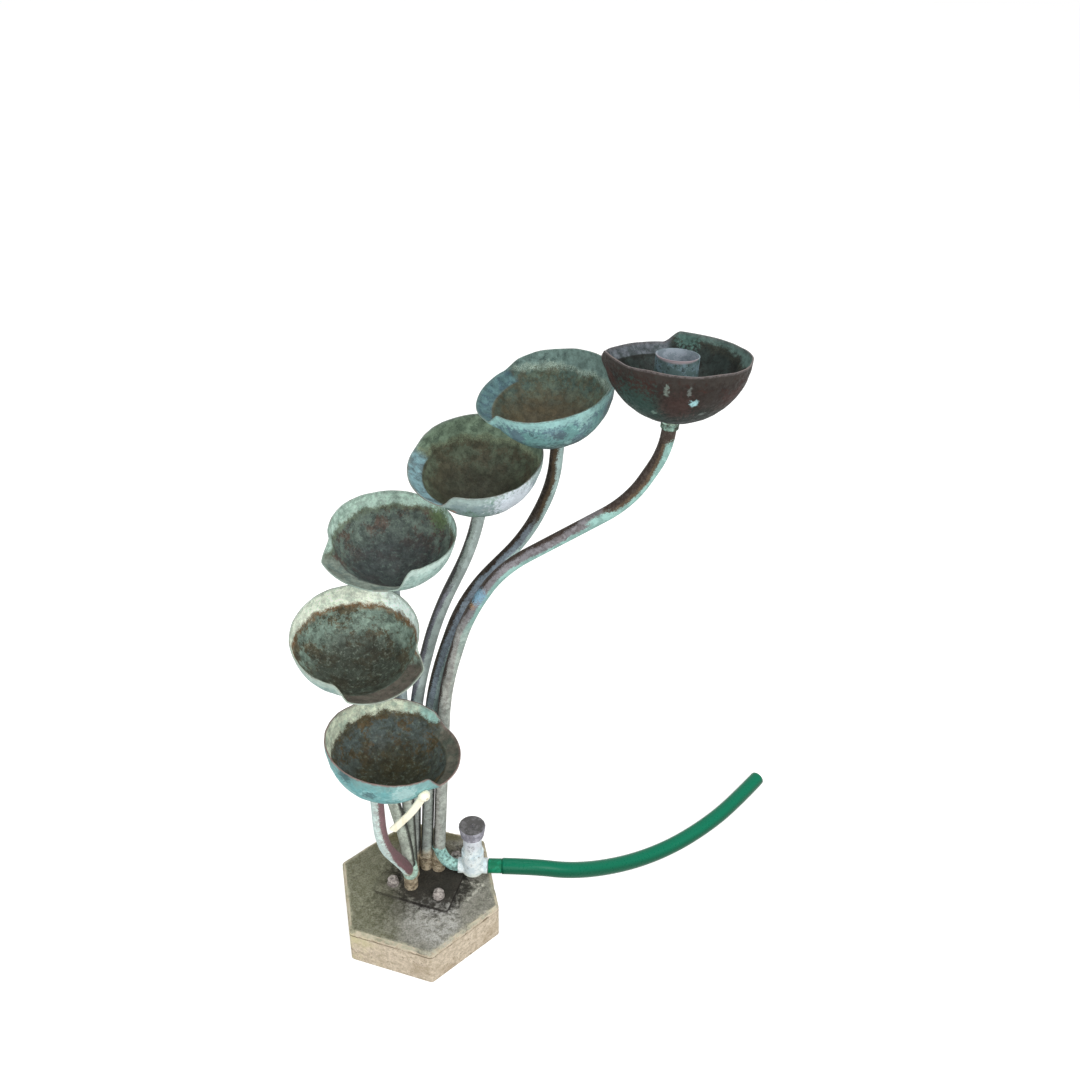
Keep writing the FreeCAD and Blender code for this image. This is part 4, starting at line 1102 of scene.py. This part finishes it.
def cup_patina():
    """Blue-grey outside, lavender inside, with a rubbed pinkish edge."""
    material = blank_material("cup_patina")
    true_place = object_place(material)
    place = shifted(true_place, 51)
    low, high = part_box("feed_cup")
    away = vectors("SUBTRACT", true_place, ((low.x + high.x) / 2, (low.y + high.y) / 2, high.z))
    spoke = vectors("NORMALIZE", vectors("MULTIPLY", away, (1.0, 1.0, 0.0)))
    outward = facing_share(material, spoke)
    flakes, _ = laid(mottle_group, place, 0.01, 0.45)
    pits, grain = laid(mottle_group, shifted(place, 4), 0.005, 0.28)
    outside = mixed(flakes, (84, 104, 104), (108, 130, 138))
    outside = mixed(pits * 0.8, outside, (48, 56, 52))
    inside = mixed(flakes, (128, 140, 148), (152, 162, 172))
    colour = mixed(ramp_up(outward, -0.3, 0.3), inside, outside)
    colour = mixed(ramp_up(coordinates(away)[2], -0.0042, -0.0012), colour, (150, 138, 142))
    return skin(material, colour, 0.66, Metallic=0.05, Normal=bumped(grain, 0.4, 0.0008))


dress(cup_patina(), "feed_cup", "feed_nut")


# Valve: a brass body under a chalky white-blue crust of lime, and a dark grey moulded knob, which
# with its screw turns and lifts the spindle.

def chalky_brass():
    """White-blue lime over brass, with sparse dark pits and a lavender neck."""
    material = blank_material("chalky_brass")
    place = object_place(material)
    height = coordinates(place)[2]
    lime, grain = laid(mottle_group, place, 0.012, 0.5)
    pits, _ = laid(mottle_group, shifted(place, 6), 0.0045, 0.2)
    colour = mixed(lime, (236, 244, 244), (212, 226, 230))
    colour = mixed(ramp_up(height, 0.112, 0.126, 0.0, 0.7), colour, (216, 218, 226))
    colour = mixed(ramp_up(height + grain * 0.012, 0.084, 0.072, 0.0, 0.6), colour, (208, 216, 192))
    colour = mixed(pits * 0.75, colour, (120, 126, 126))
    return skin(material, colour, 0.86, Normal=bumped(grain - pits, 0.8, 0.001))


def grey_plastic():
    """Aged dark grey plastic with a pale dusty film and a gritty face."""
    material = blank_material("grey_plastic")
    dust, grain = laid(mottle_group, object_place(material), 0.008, 0.42)
    flank = mixed(dust, (134, 133, 142), (178, 177, 188))
    face = mixed(dust, (84, 83, 82), (110, 109, 110))
    colour = mixed(ramp_up(facing_share(material, (0.0, 0.0, 1.0)), 0.5, 0.9), flank, face)
    return skin(material, colour, 0.7, Normal=bumped(grain, 0.5, 0.0008))


dress(chalky_brass(), "valve_body", "valve_bonnet", "valve_spindle", "valve_disc", "hose_tail")
dress(grey_plastic(), "valve_knob", "knob_screw", "valve_washer", "packing_ring")


# Sleeve and spout: a turn of darker green tube grips the hose on the valve's tail, and an ivory
# plastic spout drips from a boss on the lip of the lowest bowl.

def ivory_plastic():
    """Sun-yellowed ivory plastic, slightly waxy, with faint streaks."""
    material = blank_material("ivory_plastic")
    [streaks] = laid(runs_group, object_place(material), 0.01, 0.4)
    colour = mixed(streaks * 0.4, (244, 240, 218), (222, 212, 178))
    return skin(material, colour, 0.5, Normal=bumped(streaks, 0.15, 0.0004))


def sleeve_rubber():
    """Dark green rubber with a dusty film."""
    material = blank_material("sleeve_rubber")
    dust, grain = laid(mottle_group, object_place(material), 0.008, 0.38)
    colour = mixed(dust, (2, 104, 72), (14, 128, 94))
    return skin(material, colour, 0.42, Normal=bumped(grain, 0.3, 0.0005))


dress(ivory_plastic(), "drip_spout")
dress(sleeve_rubber(), "hose_sleeve")


bpy.context.scene.view_settings.view_transform = "Standard"
